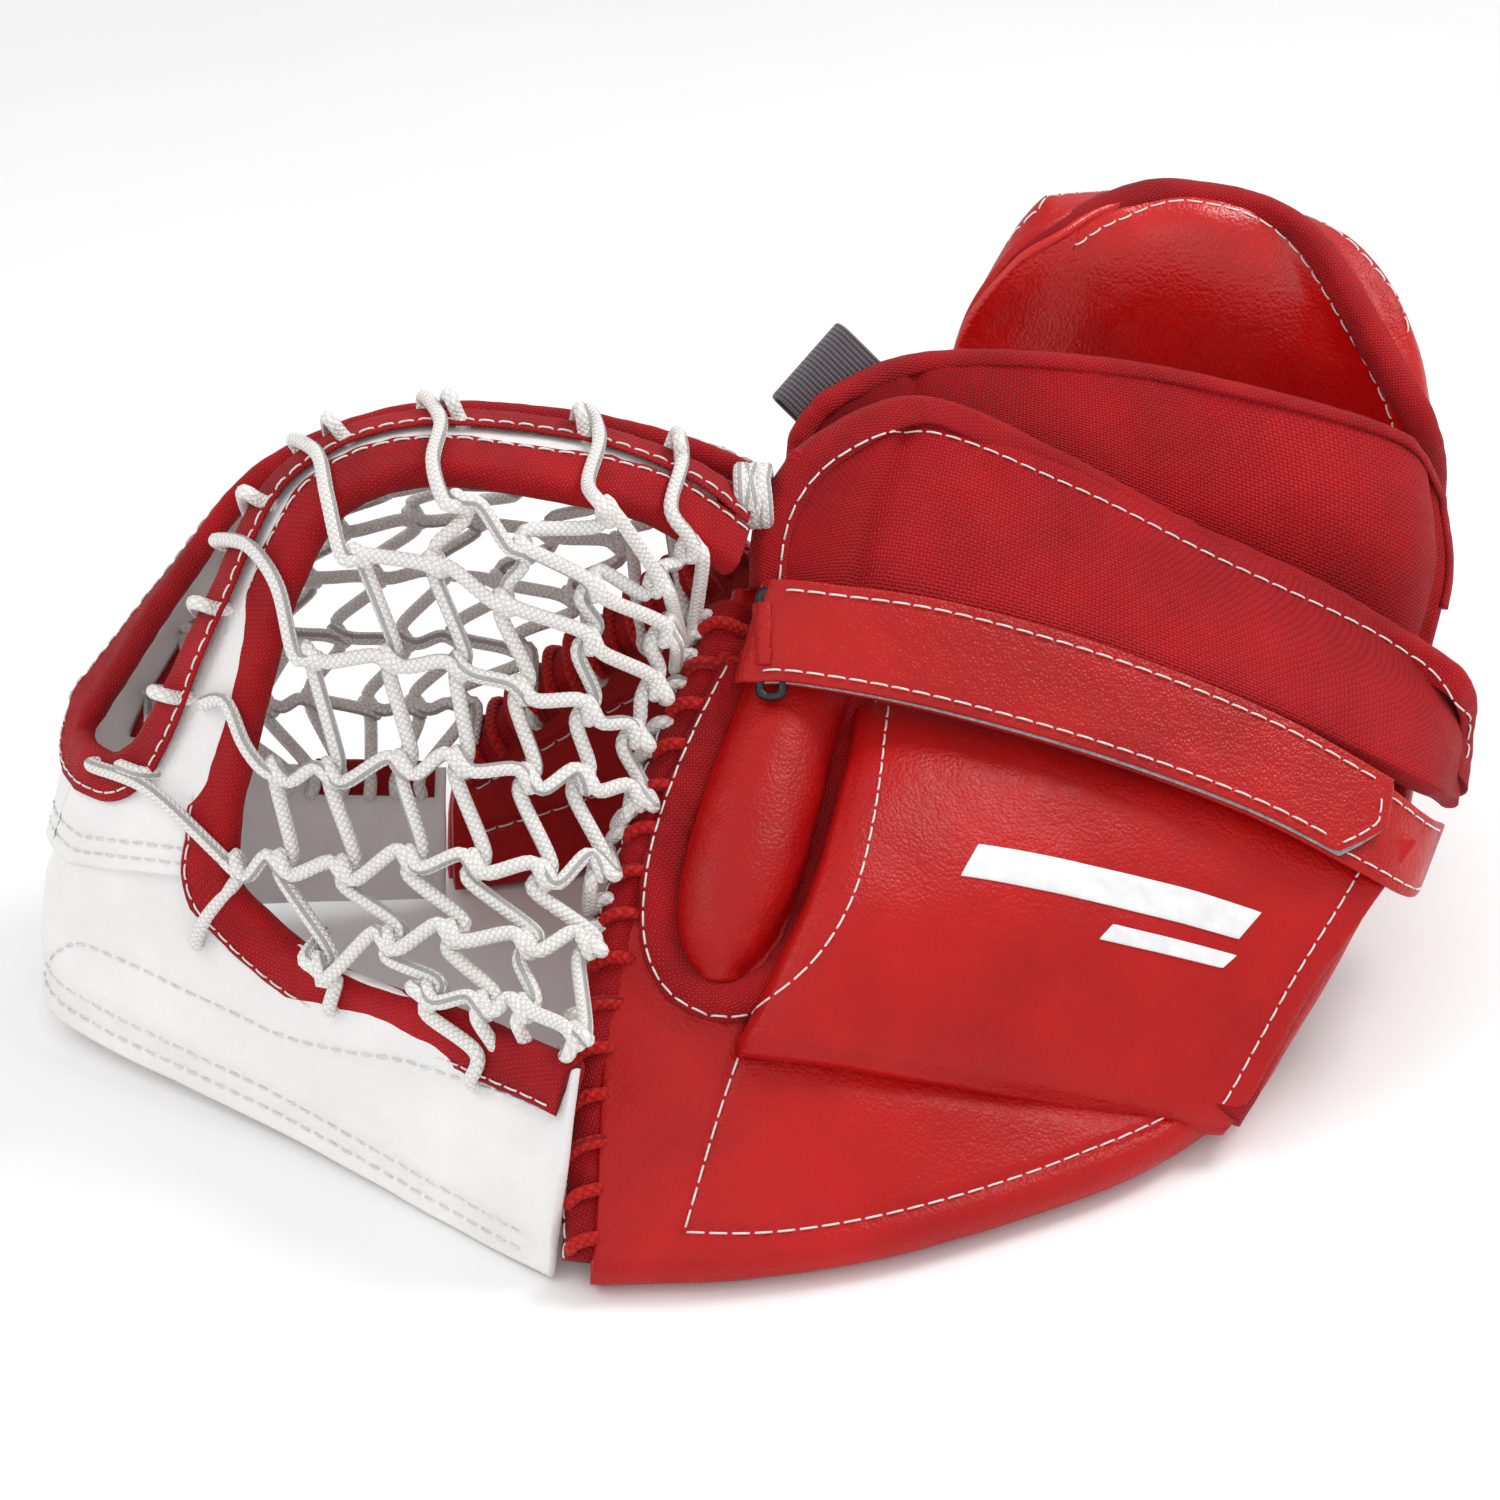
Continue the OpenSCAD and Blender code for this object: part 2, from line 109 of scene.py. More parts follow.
soft_light("key_right", (0.75, 0.25, 1.05), (0, 0, 0.1), 0.5, 6.6)
soft_light("key_left", (-0.85, -0.35, 1.1), (0, 0, 0.1), 0.8, 3.4)
soft_light("front_fill", (0.1, -1.4, 0.9), (0, 0, 0.1), 1.2, 3)

world = bpy.data.worlds.new("studio")
world.use_nodes = True
world.node_tree.nodes["Background"].inputs["Color"].default_value = (1, 1, 1, 1)
world.node_tree.nodes["Background"].inputs["Strength"].default_value = 0.76
bpy.context.scene.world = world
bpy.context.scene.view_settings.view_transform = "Standard"


# ---- Smooth curves and surfaces ----------------------------------------------------------------
def basis(count, t):
    """Weights of count points of a smooth curve through them, at each value of t."""
    x = np.asarray(t, float).ravel() * (count - 1)
    i = np.clip(np.floor(x).astype(int), 0, count - 2)
    f = x - i
    row = np.arange(len(x))
    w = np.zeros((len(x), count))
    before = (-f + 2 * f**2 - f**3) / 2
    after = (f**3 - f**2) / 2
    w[row, i] += (2 - 5 * f**2 + 3 * f**3) / 2
    w[row, i + 1] += (f + 4 * f**2 - 3 * f**3) / 2
    first = i == 0
    w[row[first], 0] += 2 * before[first]
    w[row[first], 1] -= before[first]
    w[row[~first], i[~first] - 1] += before[~first]
    last = i == count - 2
    w[row[last], count - 1] += 2 * after[last]
    w[row[last], count - 2] -= after[last]
    w[row[~last], i[~last] + 2] += after[~last]
    return w


def curve(points, n):
    """n points, evenly spaced, of the smooth curve through points."""
    p = np.asarray(points, float)
    fine = basis(len(p), np.linspace(0, 1, 24 * len(p))) @ p
    return even(fine, n)


def even(p, n):
    """n evenly spaced points along the polyline p."""
    along = lengths(p)
    t = np.linspace(0, along[-1], n)
    return np.stack([np.interp(t, along, p[:, k]) for k in range(p.shape[1])], 1)


def lengths(p):
    """Distance along the polyline p to each of its points."""
    return np.concatenate([[0], np.cumsum(np.linalg.norm(np.diff(p, axis=0), axis=1))])


def unit(v):
    return v / np.maximum(np.linalg.norm(v, axis=-1, keepdims=True), 1e-9)


class Surface:
    """Smooth surface through a grid. side is -1 where the piece's face is the grid's back. The
    grid can have extra rows before v = 0 and after v = 1."""

    def __init__(self, grid, side=1, before=0, after=0):
        self.grid = np.asarray(grid, float)
        self.side = side
        rows = len(grid) - 1
        self.v_start = before / rows
        self.v_span = (rows - before - after) / rows

    def at(self, u, v, d=0):
        u = np.asarray(u, float).ravel()
        v = self.v_start + self.v_span * np.asarray(v, float).ravel()
        wu = basis(self.grid.shape[1], u)
        wv = basis(self.grid.shape[0], v)
        p = np.einsum("kr,kc,rcd->kd", wv, wu, self.grid)
        if np.isscalar(d) and d == 0:
            return p
        return p + self.normal(u, v) * np.asarray(d, float).reshape(-1, 1)

    def slopes(self, u, v):
        e = 0.01
        u, v = np.asarray(u, float), np.asarray(v, float)
        return self.at(u + e, v) - self.at(u - e, v), self.at(u, v + e) - self.at(u, v - e)

    def normal(self, u, v):
        du, dv = self.slopes(np.asarray(u, float).ravel(), np.asarray(v, float).ravel())
        return self.side * unit(np.cross(du, dv))

    def trail(self, uv, n, d=0):
        """n points of a smooth line over the surface through the (u, v) pairs, and its normals."""
        q = curve(uv, 200)
        p = self.at(q[:, 0], q[:, 1], d)
        t = np.interp(np.linspace(0, 1, n), lengths(p) / lengths(p)[-1], np.linspace(0, 1, 200))
        q = np.stack([np.interp(t, np.linspace(0, 1, 200), q[:, k]) for k in (0, 1)], 1)
        return self.at(q[:, 0], q[:, 1], d), self.normal(q[:, 0], q[:, 1])


# ---- Mesh making -------------------------------------------------------------------------------
def make(name, points, faces, material, body=HAND, uv=None, replaces=()):
    """A mesh piece from points in millimetres, riding on a body, or on none yet if body is None."""
    mesh = bpy.data.meshes.new(name)
    mesh.from_pydata(place(points).tolist(), [], [list(map(int, f)) for f in faces])
    mesh.polygons.foreach_set("use_smooth", [True] * len(mesh.polygons))
    if uv is not None:
        layer = mesh.uv_layers.new(name="UVMap")
        index = np.zeros(len(mesh.loops), np.int32)
        mesh.loops.foreach_get("vertex_index", index)
        layer.data.foreach_set("uv", np.asarray(uv, np.float32)[index].ravel())
    mesh.update()
    piece = bpy.data.objects.new(name, mesh)
    bpy.context.collection.objects.link(piece)
    for m in material if isinstance(material, (list, tuple)) else [material]:
        mesh.materials.append(m)
    if body:
        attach(piece, body)
    if replaces:
        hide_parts(*replaces)
    return piece


def get_points(piece):
    co = np.zeros(len(piece.data.vertices) * 3)
    piece.data.vertices.foreach_get("co", co)
    return co.reshape(-1, 3) * 1000 - SHIFT


def set_points(piece, points):
    piece.data.vertices.foreach_set("co", place(points).ravel())
    piece.data.update()


def get_normals(piece):
    n = np.zeros(len(piece.data.vertices) * 3)
    piece.data.vertices.foreach_get("normal", n)
    return n.reshape(-1, 3)


def panel(name, surface, material, low, high, u=(0, 1), v=(0, 1), size=2.4, reach=None, rim=5,
          sides=(1, 1, 1, 1), body=HAND, replaces=(), warp=None):
    """A closed sheet between two offsets of a surface, with rounded edges.

    low and high are numbers, or functions of s and t, which run from 0 to 1 over the panel.
    sides scales how far the rounded edge stands out at the low v, high u, high v and low u edge.
    warp moves (s, t) before they become u and v. Returns the piece, whose first points are its
    face, row by row.
    """
    probe = np.linspace(0, 1, 30)
    span = lambda a, b: surface.at(u[0] + (u[1] - u[0]) * a, v[0] + (v[1] - v[0]) * b)
    wide = max(lengths(span(probe, np.full(30, k)))[-1] for k in (0, 0.5, 1))
    tall = max(lengths(span(np.full(30, k), probe))[-1] for k in (0, 0.5, 1))
    nu = max(3, int(round(wide / size)))
    nv = max(3, int(round(tall / size)))
    t, s = np.meshgrid(np.linspace(0, 1, nv + 1), np.linspace(0, 1, nu + 1), indexing="ij")
    s, t = s.ravel(), t.ravel()
    ws, wt = warp(s, t) if warp else (s, t)
    gu = u[0] + (u[1] - u[0]) * ws
    gv = v[0] + (v[1] - v[0]) * wt
    base = surface.at(gu, gv)
    n = surface.normal(gu, gv)
    du, dv = surface.slopes(gu, gv)
    hi = (high(s, t) if callable(high) else np.full(len(s), float(high)))[:, None]
    lo = (low(s, t) if callable(low) else np.full(len(s), float(low)))[:, None]
    w = nu + 1
    count = w * (nv + 1)
    edge = ([i for i in range(nu)] + [nu + j * w for j in range(nv)]
            + [nv * w + i for i in range(nu, 0, -1)] + [j * w for j in range(nv, 0, -1)])
    edge = np.array(edge)
    eu, ev = unit(du[edge]), unit(dv[edge])
    out_v = unit(ev - eu * np.sum(eu * ev, 1, keepdims=True))
    out_u = unit(eu - ev * np.sum(eu * ev, 1, keepdims=True))
    es, et = s[edge], t[edge]
    pull = (np.where(et < 1e-6, -sides[0], 0) + np.where(et > 1 - 1e-6, sides[2], 0))[:, None] * out_v
    across = np.where(es < 1e-6, -sides[3], 0) + np.where(es > 1 - 1e-6, sides[1], 0)
    pull = pull + across[:, None] * out_u
    size_of = np.linalg.norm(pull, axis=1, keepdims=True)
    pull = pull / np.maximum(size_of, 1.0)
    top = base + n * hi
    bottom = base + n * lo
    rings = [top[edge]]
    thick = (hi - lo)[edge]
    stand = thick / 2 if reach is None else np.minimum(thick / 2, reach)
    for k in range(rim):
        a = math.pi * (k + 1) / (rim + 1)
        rings.append(top[edge] + (bottom[edge] - top[edge]) * (1 - math.cos(a)) / 2
                     + pull * stand * math.sin(a))
    points = np.concatenate([top, *rings[1:], bottom])
    m = len(edge)
    faces = []
    for j in range(nv):
        for i in range(nu):
            k = j * w + i
            faces.append((k, k + 1, k + w + 1, k + w))
    start = [edge] + [count + m * k + np.arange(m) for k in range(rim)]
    start.append(count + m * rim + edge)
    for a, b in zip(start, start[1:]):
        for i in range(m):
            j = (i + 1) % m
            faces.append((a[i], b[i], b[j], a[j]))
    base_id = count + m * rim
    for j in range(nv):
        for i in range(nu):
            k = base_id + j * w + i
            faces.append((k, k + w, k + w + 1, k + 1))
    if surface.side < 0:
        faces = [f[::-1] for f in faces]
    flat = np.stack([s * wide, t * tall], 1)
    ring_uv = [flat[edge] + (k + 1) * 1.0 for k in range(rim)]
    uv = np.concatenate([flat, *ring_uv, flat]) / 1000
    piece = make(name, points, faces, material, body, uv, replaces)
    piece["face_points"] = count
    return piece


def frames(path, normal):
    """Tangents, normals square to them, and the sideways direction at each point of a path."""
    t = unit(np.gradient(path, axis=0))
    n = unit(normal - t * np.sum(t * normal, 1, keepdims=True))
    return t, n, np.cross(t, n)


def sweep(name, path, normal, section, material, body=HAND, scale=None, replaces=()):
    """A section of (sideways, up) pairs carried along a path. Sideways is tangent x normal."""
    t, n, side = frames(path, normal)
    m = len(path)
    sec = np.asarray(section, float)
    sec = np.repeat(sec[None], m, 0) if sec.ndim == 2 else sec
    k = sec.shape[1]
    if scale is not None:
        sec = sec * scale[:, None, None]
    points = (path[:, None] + side[:, None] * sec[:, :, :1] + n[:, None] * sec[:, :, 1:]).reshape(-1, 3)
    faces = []
    for i in range(m - 1):
        for j in range(k):
            a, b = i * k + j, i * k + (j + 1) % k
            faces.append((a, b, b + k, a + k))
    faces.append(tuple(range(k))[::-1])
    faces.append(tuple((m - 1) * k + j for j in range(k)))
    around = lengths(sec[m // 2])
    uv = np.stack(np.meshgrid(around, lengths(path), indexing="xy"), -1).reshape(-1, 2) / 1000
    return make(name, points, faces, material, body, uv, replaces)


def tube(name, paths, diameter, material, body=HAND, sides=10, replaces=(), step=1.6):
    """Round cords along one or more paths, as one mesh with rounded ends."""
    points, faces, uv = [], [], []
    start = 0
    for raw in paths:
        raw = np.asarray(raw, float)
        n = max(4, int(lengths(raw)[-1] / step))
        p = even(raw, n)
        t = unit(np.gradient(p, axis=0))
        side = np.zeros_like(p)
        guide = np.array([0.0, 0, 1]) if abs(t[0][2]) < 0.8 else np.array([1.0, 0, 0])
        side[0] = unit(np.cross(t[0], guide))
        for i in range(1, n):
            side[i] = unit(side[i - 1] - t[i] * np.dot(side[i - 1], t[i]))
        up = np.cross(t, side)
        r = np.full(n, diameter / 2)
        r[0] *= 0.55
        r[-1] *= 0.55
        along = lengths(p)
        for j in range(sides):
            a = 2 * math.pi * j / sides
            ring = p + (side * math.cos(a) + up * math.sin(a)) * r[:, None]
            points.append(ring)
            uv.append(np.stack([np.full(n, j / sides), along / diameter], 1))
        for j in range(sides):
            a0, b0 = start + j * n, start + ((j + 1) % sides) * n
            for i in range(n - 1):
                faces.append((a0 + i, a0 + i + 1, b0 + i + 1, b0 + i))
        faces.append(tuple(start + j * n for j in range(sides)))
        faces.append(tuple(start + j * n + n - 1 for j in range(sides))[::-1])
        start += sides * n
    return make(name, np.concatenate(points), faces, material, body, np.concatenate(uv), replaces)


class Skin:
    """A finished piece's surface, for laying stitches and cords on."""

    def __init__(self, *pieces):
        points, faces, start = [], [], 0
        for piece in pieces:
            points.extend(map(Vector, get_points(piece)))
            faces.extend([[start + i for i in p.vertices] for p in piece.data.polygons])
            start = len(points)
        self.tree = BVHTree.FromPolygons(points, faces)

    def seat(self, path, normal, lift=0, search=25):
        """The path's points dropped onto the surface against their normals."""
        found = []
        for p, n in zip(path, normal):
            hit = self.tree.ray_cast(Vector(p + n * search), Vector(-n), 2 * search)
            found.append(np.array(hit[0]) + n * lift if hit[0] else p + n * lift)
        return np.array(found)


def press(piece, path, depth, width, pitch=None):
    """Sinks a seam along a path into a piece, deeper at each stitch hole."""
    co = get_points(piece)
    n = get_normals(piece)
    p = even(path, max(8, int(lengths(path)[-1] / 0.8)))
    along = lengths(p)
    low, high = p.min(0) - 3 * width, p.max(0) + 3 * width
    near = np.where(np.all((co > low) & (co < high), axis=1))[0]
    for part in np.array_split(near, max(1, len(near) // 4000)):
        if not len(part):
            continue
        gap = np.linalg.norm(co[part][:, None] - p[None], axis=2)
        k = gap.argmin(1)
        d = gap[np.arange(len(part)), k]
        sink = depth * np.exp(-((d / width) ** 2))
        if pitch:
            sink = sink * (1 + 0.3 * np.cos(2 * math.pi * along[k] / pitch))
        co[part] -= n[part] * sink[:, None]
    set_points(piece, co)


def crumple(piece, amount, scale, stretch=(1, 1, 1), seed=0.0):
    """Moves a piece's points along its normals by smooth noise, as leather creases do."""
    co = get_points(piece)
    n = get_normals(piece)
    q = co * np.asarray(stretch, float) / scale + seed
    h = np.array([noise.noise(Vector(x)) + 0.5 * noise.noise(Vector(x * 2.1)) for x in q])
    h = np.where(h > 0, h, h * 1.6)
    set_points(piece, co + n * (amount * h)[:, None])


def stitches(name, path, normal, skin, pitch=6.5, length=5.7, radius=0.33, body=HAND, lift=0.1,
             material=None):
    """Short threads along a path: each one comes up, crosses the surface and goes down again."""
    total = lengths(path)[-1]
    count = max(1, int(total / pitch))
    along = lengths(path)
    shape = [(-0.5, -0.75), (-0.42, 0.05), (-0.2, 0.32), (0.2, 0.32), (0.42, 0.05), (0.5, -0.75)]
    points, faces = [], []
    spots, normals = [], []
    for i in range(count):
        for x, _ in shape:
            a = np.clip((i + 0.5) * pitch + x * length, 0, total)
            spots.append([np.interp(a, along, path[:, k]) for k in range(3)])
            normals.append([np.interp(a, along, normal[:, k]) for k in range(3)])
    spots, normals = np.array(spots), unit(np.array(normals))
    spots = skin.seat(spots, normals) if skin else spots
    k = len(shape)
    for i in range(count):
        p = spots[i * k:(i + 1) * k]
        n = normals[i * k:(i + 1) * k]
        if np.linalg.norm(p[-1] - p[0]) > 3 * length:
            continue
        t = unit(p[-1] - p[0])
        for j in range(k):
            side = unit(np.cross(t, n[j]))
            centre = p[j] + n[j] * (shape[j][1] * 1.0 + lift)
            thin = 0.75 if j in (0, k - 1) else 1.0
            for a in range(6):
                q = math.pi * a / 3
                points.append(centre + (side * math.cos(q) + n[j] * math.sin(q)) * radius * thin)
        first = len(points) - 6 * k
        for j in range(k - 1):
            for a in range(6):
                b = (a + 1) % 6
                x = first + j * 6
                faces.append((x + a, x + b, x + b + 6, x + a + 6))
        faces.append(tuple(first + a for a in range(6))[::-1])
        faces.append(tuple(first + (k - 1) * 6 + a for a in range(6)))
    return make(name, np.array(points), faces, material or THREAD, body)


def fold_over(reach, half, thick, back=None):
    """Section of a binding folded over an edge that lies at 0, with its leather at sideways > 0.

    reach is how far it lies on the face and half is half the thickness of what it holds."""
    back = reach if back is None else back
    out = half + thick
    outer = [(reach, half + 0.1), (reach - 0.6, out - 0.2), (reach * 0.6, out)]
    outer += [(0.8, out)]
    end = min(out, 4.0)
    outer += [(0.8 - end * math.sin(a), out * math.cos(a)) for a in np.linspace(0.35, math.pi - 0.35, 7)]
    outer += [(0.8, -out), (back * 0.6, -out), (back - 0.6, -out + 0.2), (back, -half - 0.1)]
    inner = [(back * 0.5, -half * 0.7), (1.5, 0), (reach * 0.5, half * 0.7)]
    return outer + inner


def binding(name, path, normal, flip, reach, half, thick=1.1, body=HAND, pucker=0.25, replaces=(),
            back=None, slot="red_binding", taper=0.0):
    """A fabric binding folded over an edge. flip is 1 or -1, and says on which side the edge's
    own sheet lies. taper is the length over which it thins away at its start."""
    n = max(8, int(lengths(path)[-1] / 1.6))
    p, nn = even(path, n), unit(even(normal, n))
    sec = np.array(fold_over(reach, half, thick, back))
    sec = np.repeat(sec[None], n, 0)
    along = lengths(p)
    wave = np.array([noise.noise(Vector((a / 5.0, reach, half))) for a in along])
    bend = np.linalg.norm(np.gradient(unit(np.gradient(p, axis=0)), axis=0), axis=1) / 1.6
    puff = pucker * wave * (1 + 14 * np.clip(bend * 2, 0, 0.4))
    sec[:, 1:-4, :] *= (1 + puff / (half + thick))[:, None, None]
    sec[:, :, 0] *= flip
    thin = np.clip(0.2 + 0.8 * along / taper, 0, 1) if taper else None
    piece = sweep(name, p, nn, sec, BINDING, body, thin, replaces=replaces)
    if flip > 0:
        piece.data.flip_normals()
    return piece


# ---- Materials ---------------------------------------------------------------------------------
class Look:
    """Builds one material from nodes. Sockets and numbers can both be given as inputs."""

    def __init__(self, name):
        self.material = bpy.data.materials.new(name)
        self.material.use_nodes = True
        self.tree = self.material.node_tree
        self.shader = self.tree.nodes["Principled BSDF"]

    def add(self, kind, **values):
        node = self.tree.nodes.new(kind)
        for key, value in values.items():
            setattr(node, key, value)
        return node

    def link(self, value, socket):
        if isinstance(value, bpy.types.NodeSocket):
            self.tree.links.new(value, socket)
        else:
            socket.default_value = value

    def maths(self, operation, a, b=0.0, c=0.0):
        node = self.add("ShaderNodeMath", operation=operation)
        for value, socket in zip((a, b, c), node.inputs):
            self.link(value, socket)
        return node.outputs[0]

    def where(self, source="Object"):
        return self.add("ShaderNodeTexCoord").outputs[source]

    def cloud(self, source, scale, detail=3.0, rough=0.55):
        node = self.add("ShaderNodeTexNoise")
        self.link(source, node.inputs["Vector"])
        node.inputs["Scale"].default_value = scale
        node.inputs["Detail"].default_value = detail
        node.inputs["Roughness"].default_value = rough
        return node.outputs["Fac"]

    def cells(self, source, scale, feature="F1"):
        node = self.add("ShaderNodeTexVoronoi", feature=feature)
        self.link(source, node.inputs["Vector"])
        node.inputs["Scale"].default_value = scale
        return node.outputs["Distance"]

    def span(self, value, low, high, to_low, to_high):
        node = self.add("ShaderNodeMapRange")
        self.link(value, node.inputs["Value"])
        for key, number in zip(("From Min", "From Max", "To Min", "To Max"),
                               (low, high, to_low, to_high)):
            node.inputs[key].default_value = number
        return node.outputs["Result"]

    def mix(self, factor, a, b):
        node = self.add("ShaderNodeMix", data_type="RGBA")
        self.link(factor, node.inputs["Factor"])
        for value, key in ((a, 6), (b, 7)):
            self.link((*value, 1) if isinstance(value, tuple) else value, node.inputs[key])
        return node.outputs[2]

    def bump(self, height, distance, strength=1.0, below=None):
        node = self.add("ShaderNodeBump")
        self.link(height, node.inputs["Height"])
        node.inputs["Distance"].default_value = distance
        node.inputs["Strength"].default_value = strength
        if below is not None:
            self.link(below, node.inputs["Normal"])
        return node.outputs["Normal"]

    def weave(self, x, y):
        """Height of a plain weave whose threads are one unit wide in x and y."""
        a = self.maths("SINE", self.maths("MULTIPLY", x, math.pi))
        b = self.maths("SINE", self.maths("MULTIPLY", y, math.pi))
        over = self.maths("GREATER_THAN", self.maths("MULTIPLY", a, b), 0.0)
        a = self.maths("ABSOLUTE", a)
        b = self.maths("ABSOLUTE", b)
        first = self.maths("MULTIPLY", a, self.maths("MULTIPLY_ADD", b, 0.45, 0.55))
        second = self.maths("MULTIPLY", b, self.maths("MULTIPLY_ADD", a, 0.45, 0.55))
        gap = self.maths("SUBTRACT", first, second)
        return self.maths("MULTIPLY_ADD", gap, over, second), over

    def finish(self, colour, roughness, normal=None, **plain):
        self.link(colour, self.shader.inputs["Base Color"])
        self.link(roughness, self.shader.inputs["Roughness"])
        if normal is not None:
            self.link(normal, self.shader.inputs["Normal"])
        for key, value in plain.items():
            self.shader.inputs[key.replace("_", " ")].default_value = value
        return self.material


def leather(name, base, deep, worn, grain=900.0, relief=0.00022, rough=(0.34, 0.5), coat=0.0, shine=0.27):
    look = Look(name)
    where = look.where()
    tone = look.cloud(where, 24.0, 4.0)
    fine = look.cloud(where, grain * 0.9, 2.0)
    pebble = look.cells(where, grain)
    creases = look.cells(where, grain * 0.33, "SMOOTH_F1")
    colour = look.mix(look.span(tone, 0.3, 0.7, 0.0, 1.0), deep, base)
    scuff = look.span(look.cloud(where, 75.0, 6.0, 0.7), 0.62, 0.78, 0.0, 0.35)
    colour = look.mix(scuff, colour, worn)
    pit = look.span(pebble, 0.0, 0.75, 0.14, 0.0)
    colour = look.mix(pit, colour, deep)
    roughness = look.span(look.cloud(where, 180.0, 3.0), 0.3, 0.7, rough[0], rough[1])
    height = look.maths("MULTIPLY_ADD", fine, 0.5, look.maths("MULTIPLY", pebble, -0.8))
    height = look.maths("MULTIPLY_ADD", creases, -0.7, height)
    normal = look.bump(look.cloud(where, 60.0, 3.0), 0.0006, 0.35)
    normal = look.bump(height, relief, 1.0, normal)
    look.shader.inputs["Specular IOR Level"].default_value = shine
    return look.finish(colour, roughness, normal, Coat_Weight=coat, Coat_Roughness=0.35)


def woven(name, base, deep, pitch=0.0009, relief=0.00025, rough=(0.55, 0.72), sheen=0.25, slant=0.0):
    look = Look(name)
    uv = look.where("UV")
    axes = look.add("ShaderNodeSeparateXYZ")
    look.link(uv, axes.inputs[0])
    x = look.maths("DIVIDE", axes.outputs[0], pitch)
    y = look.maths("DIVIDE", axes.outputs[1], pitch)
    if slant:
        x, y = look.maths("MULTIPLY_ADD", y, slant, x), look.maths("MULTIPLY_ADD", x, -slant, y)
    where = look.where()
    wobble = look.span(look.cloud(where, 260.0, 2.0), 0.0, 1.0, -0.35, 0.35)
    x = look.maths("ADD", x, wobble)
    y = look.maths("SUBTRACT", y, wobble)
    height, over = look.weave(x, y)
    tone = look.cloud(where, 30.0, 4.0)
    colour = look.mix(look.span(tone, 0.3, 0.7, 0.0, 1.0), deep, base)
    # Painted shade: the low gaps between the threads are mixed towards the deep colour.
    colour = look.mix(look.span(height, 0.1, 0.9, 0.55, 0.0), colour, deep)
    # Painted highlight: a paler copy of the base colour on the crowns of the threads that lie on top.
    painted_highlight = tuple(min(1.0, 1.25 * c + 0.03) for c in base)
    colour = look.mix(look.maths("MULTIPLY", over, look.span(height, 0.5, 1.0, 0.0, 0.35)), colour, painted_highlight)
    roughness = look.span(look.cloud(where, 140.0, 3.0), 0.3, 0.7, rough[0], rough[1])
    normal = look.bump(look.cloud(where, 90.0, 3.0), 0.0008, 0.3)
    normal = look.bump(height, relief, 1.0, normal)
    look.shader.inputs["Specular IOR Level"].default_value = 0.2
    return look.finish(colour, roughness, normal, Sheen_Weight=sheen, Sheen_Roughness=0.4)


def braid(name, base, deep, around=6.0, along=2.3, relief=0.0005, rough=0.62):
    look = Look(name)
    axes = look.add("ShaderNodeSeparateXYZ")
    look.link(look.where("UV"), axes.inputs[0])
    u = look.maths("MULTIPLY", axes.outputs[0], around)
    x = look.maths("MULTIPLY_ADD", axes.outputs[1], along, u)
    y = look.maths("MULTIPLY_ADD", axes.outputs[1], -along, u)
    height, over = look.weave(x, y)
    where = look.where()
    fibres = look.cloud(where, 2600.0, 2.0)
    tone = look.cloud(where, 45.0, 3.0)
    colour = look.mix(look.span(tone, 0.3, 0.75, 0.25, 0.0), base, deep)
    # Painted shade: the low gaps between the strands are mixed towards the deep colour.
    colour = look.mix(look.span(height, 0.0, 0.6, 0.7, 0.0), colour, deep)
    height = look.maths("MULTIPLY_ADD", fibres, 0.25, height)
    normal = look.bump(height, relief)
    look.shader.inputs["Specular IOR Level"].default_value = 0.25
    return look.finish(colour, rough, normal, Sheen_Weight=0.05, Sheen_Roughness=0.5)


def plain(name, base, deep, rough=(0.4, 0.5), scale=120.0, relief=0.0002, **extra):
    look = Look(name)
    where = look.where()
    tone = look.cloud(where, scale, 4.0)
    colour = look.mix(look.span(tone, 0.35, 0.65, 0.0, 1.0), deep, base)
    roughness = look.span(look.cloud(where, scale * 2.3, 3.0), 0.3, 0.7, rough[0], rough[1])
    height = look.maths("MULTIPLY_ADD", look.cloud(where, scale * 8, 3.0), 0.6, tone)
    return look.finish(colour, roughness, look.bump(height, relief), **extra)


def ribbed(name, base, deep, pitch, relief, rough=0.7):
    """Ribs that run along the piece's length, crossed by finer threads."""
    look = Look(name)
    axes = look.add("ShaderNodeSeparateXYZ")
    look.link(look.where("UV"), axes.inputs[0])
    x = look.maths("DIVIDE", axes.outputs[0], pitch)
    y = look.maths("DIVIDE", axes.outputs[1], pitch * 0.7)
    ribs = look.maths("ABSOLUTE", look.maths("SINE", look.maths("MULTIPLY", x, math.pi)))
    picks = look.maths("ABSOLUTE", look.maths("SINE", look.maths("MULTIPLY", y, math.pi)))
    height = look.maths("MULTIPLY_ADD", picks, 0.35, ribs)
    # Painted shade: the grooves between the ribs take the deep colour, the rib tops the base colour.
    colour = look.mix(look.span(height, 0.2, 1.2, 1.0, 0.0), base, deep)
    return look.finish(colour, rough, look.bump(height, relief), Sheen_Weight=0.3)


def rgb(r, g, b):
    """A display colour, 0 to 255, as the linear colour that shaders take."""
    line = [c / 255 for c in (r, g, b)]
    return tuple(c / 12.92 if c < 0.04 else ((c + 0.055) / 1.055) ** 2.4 for c in line)


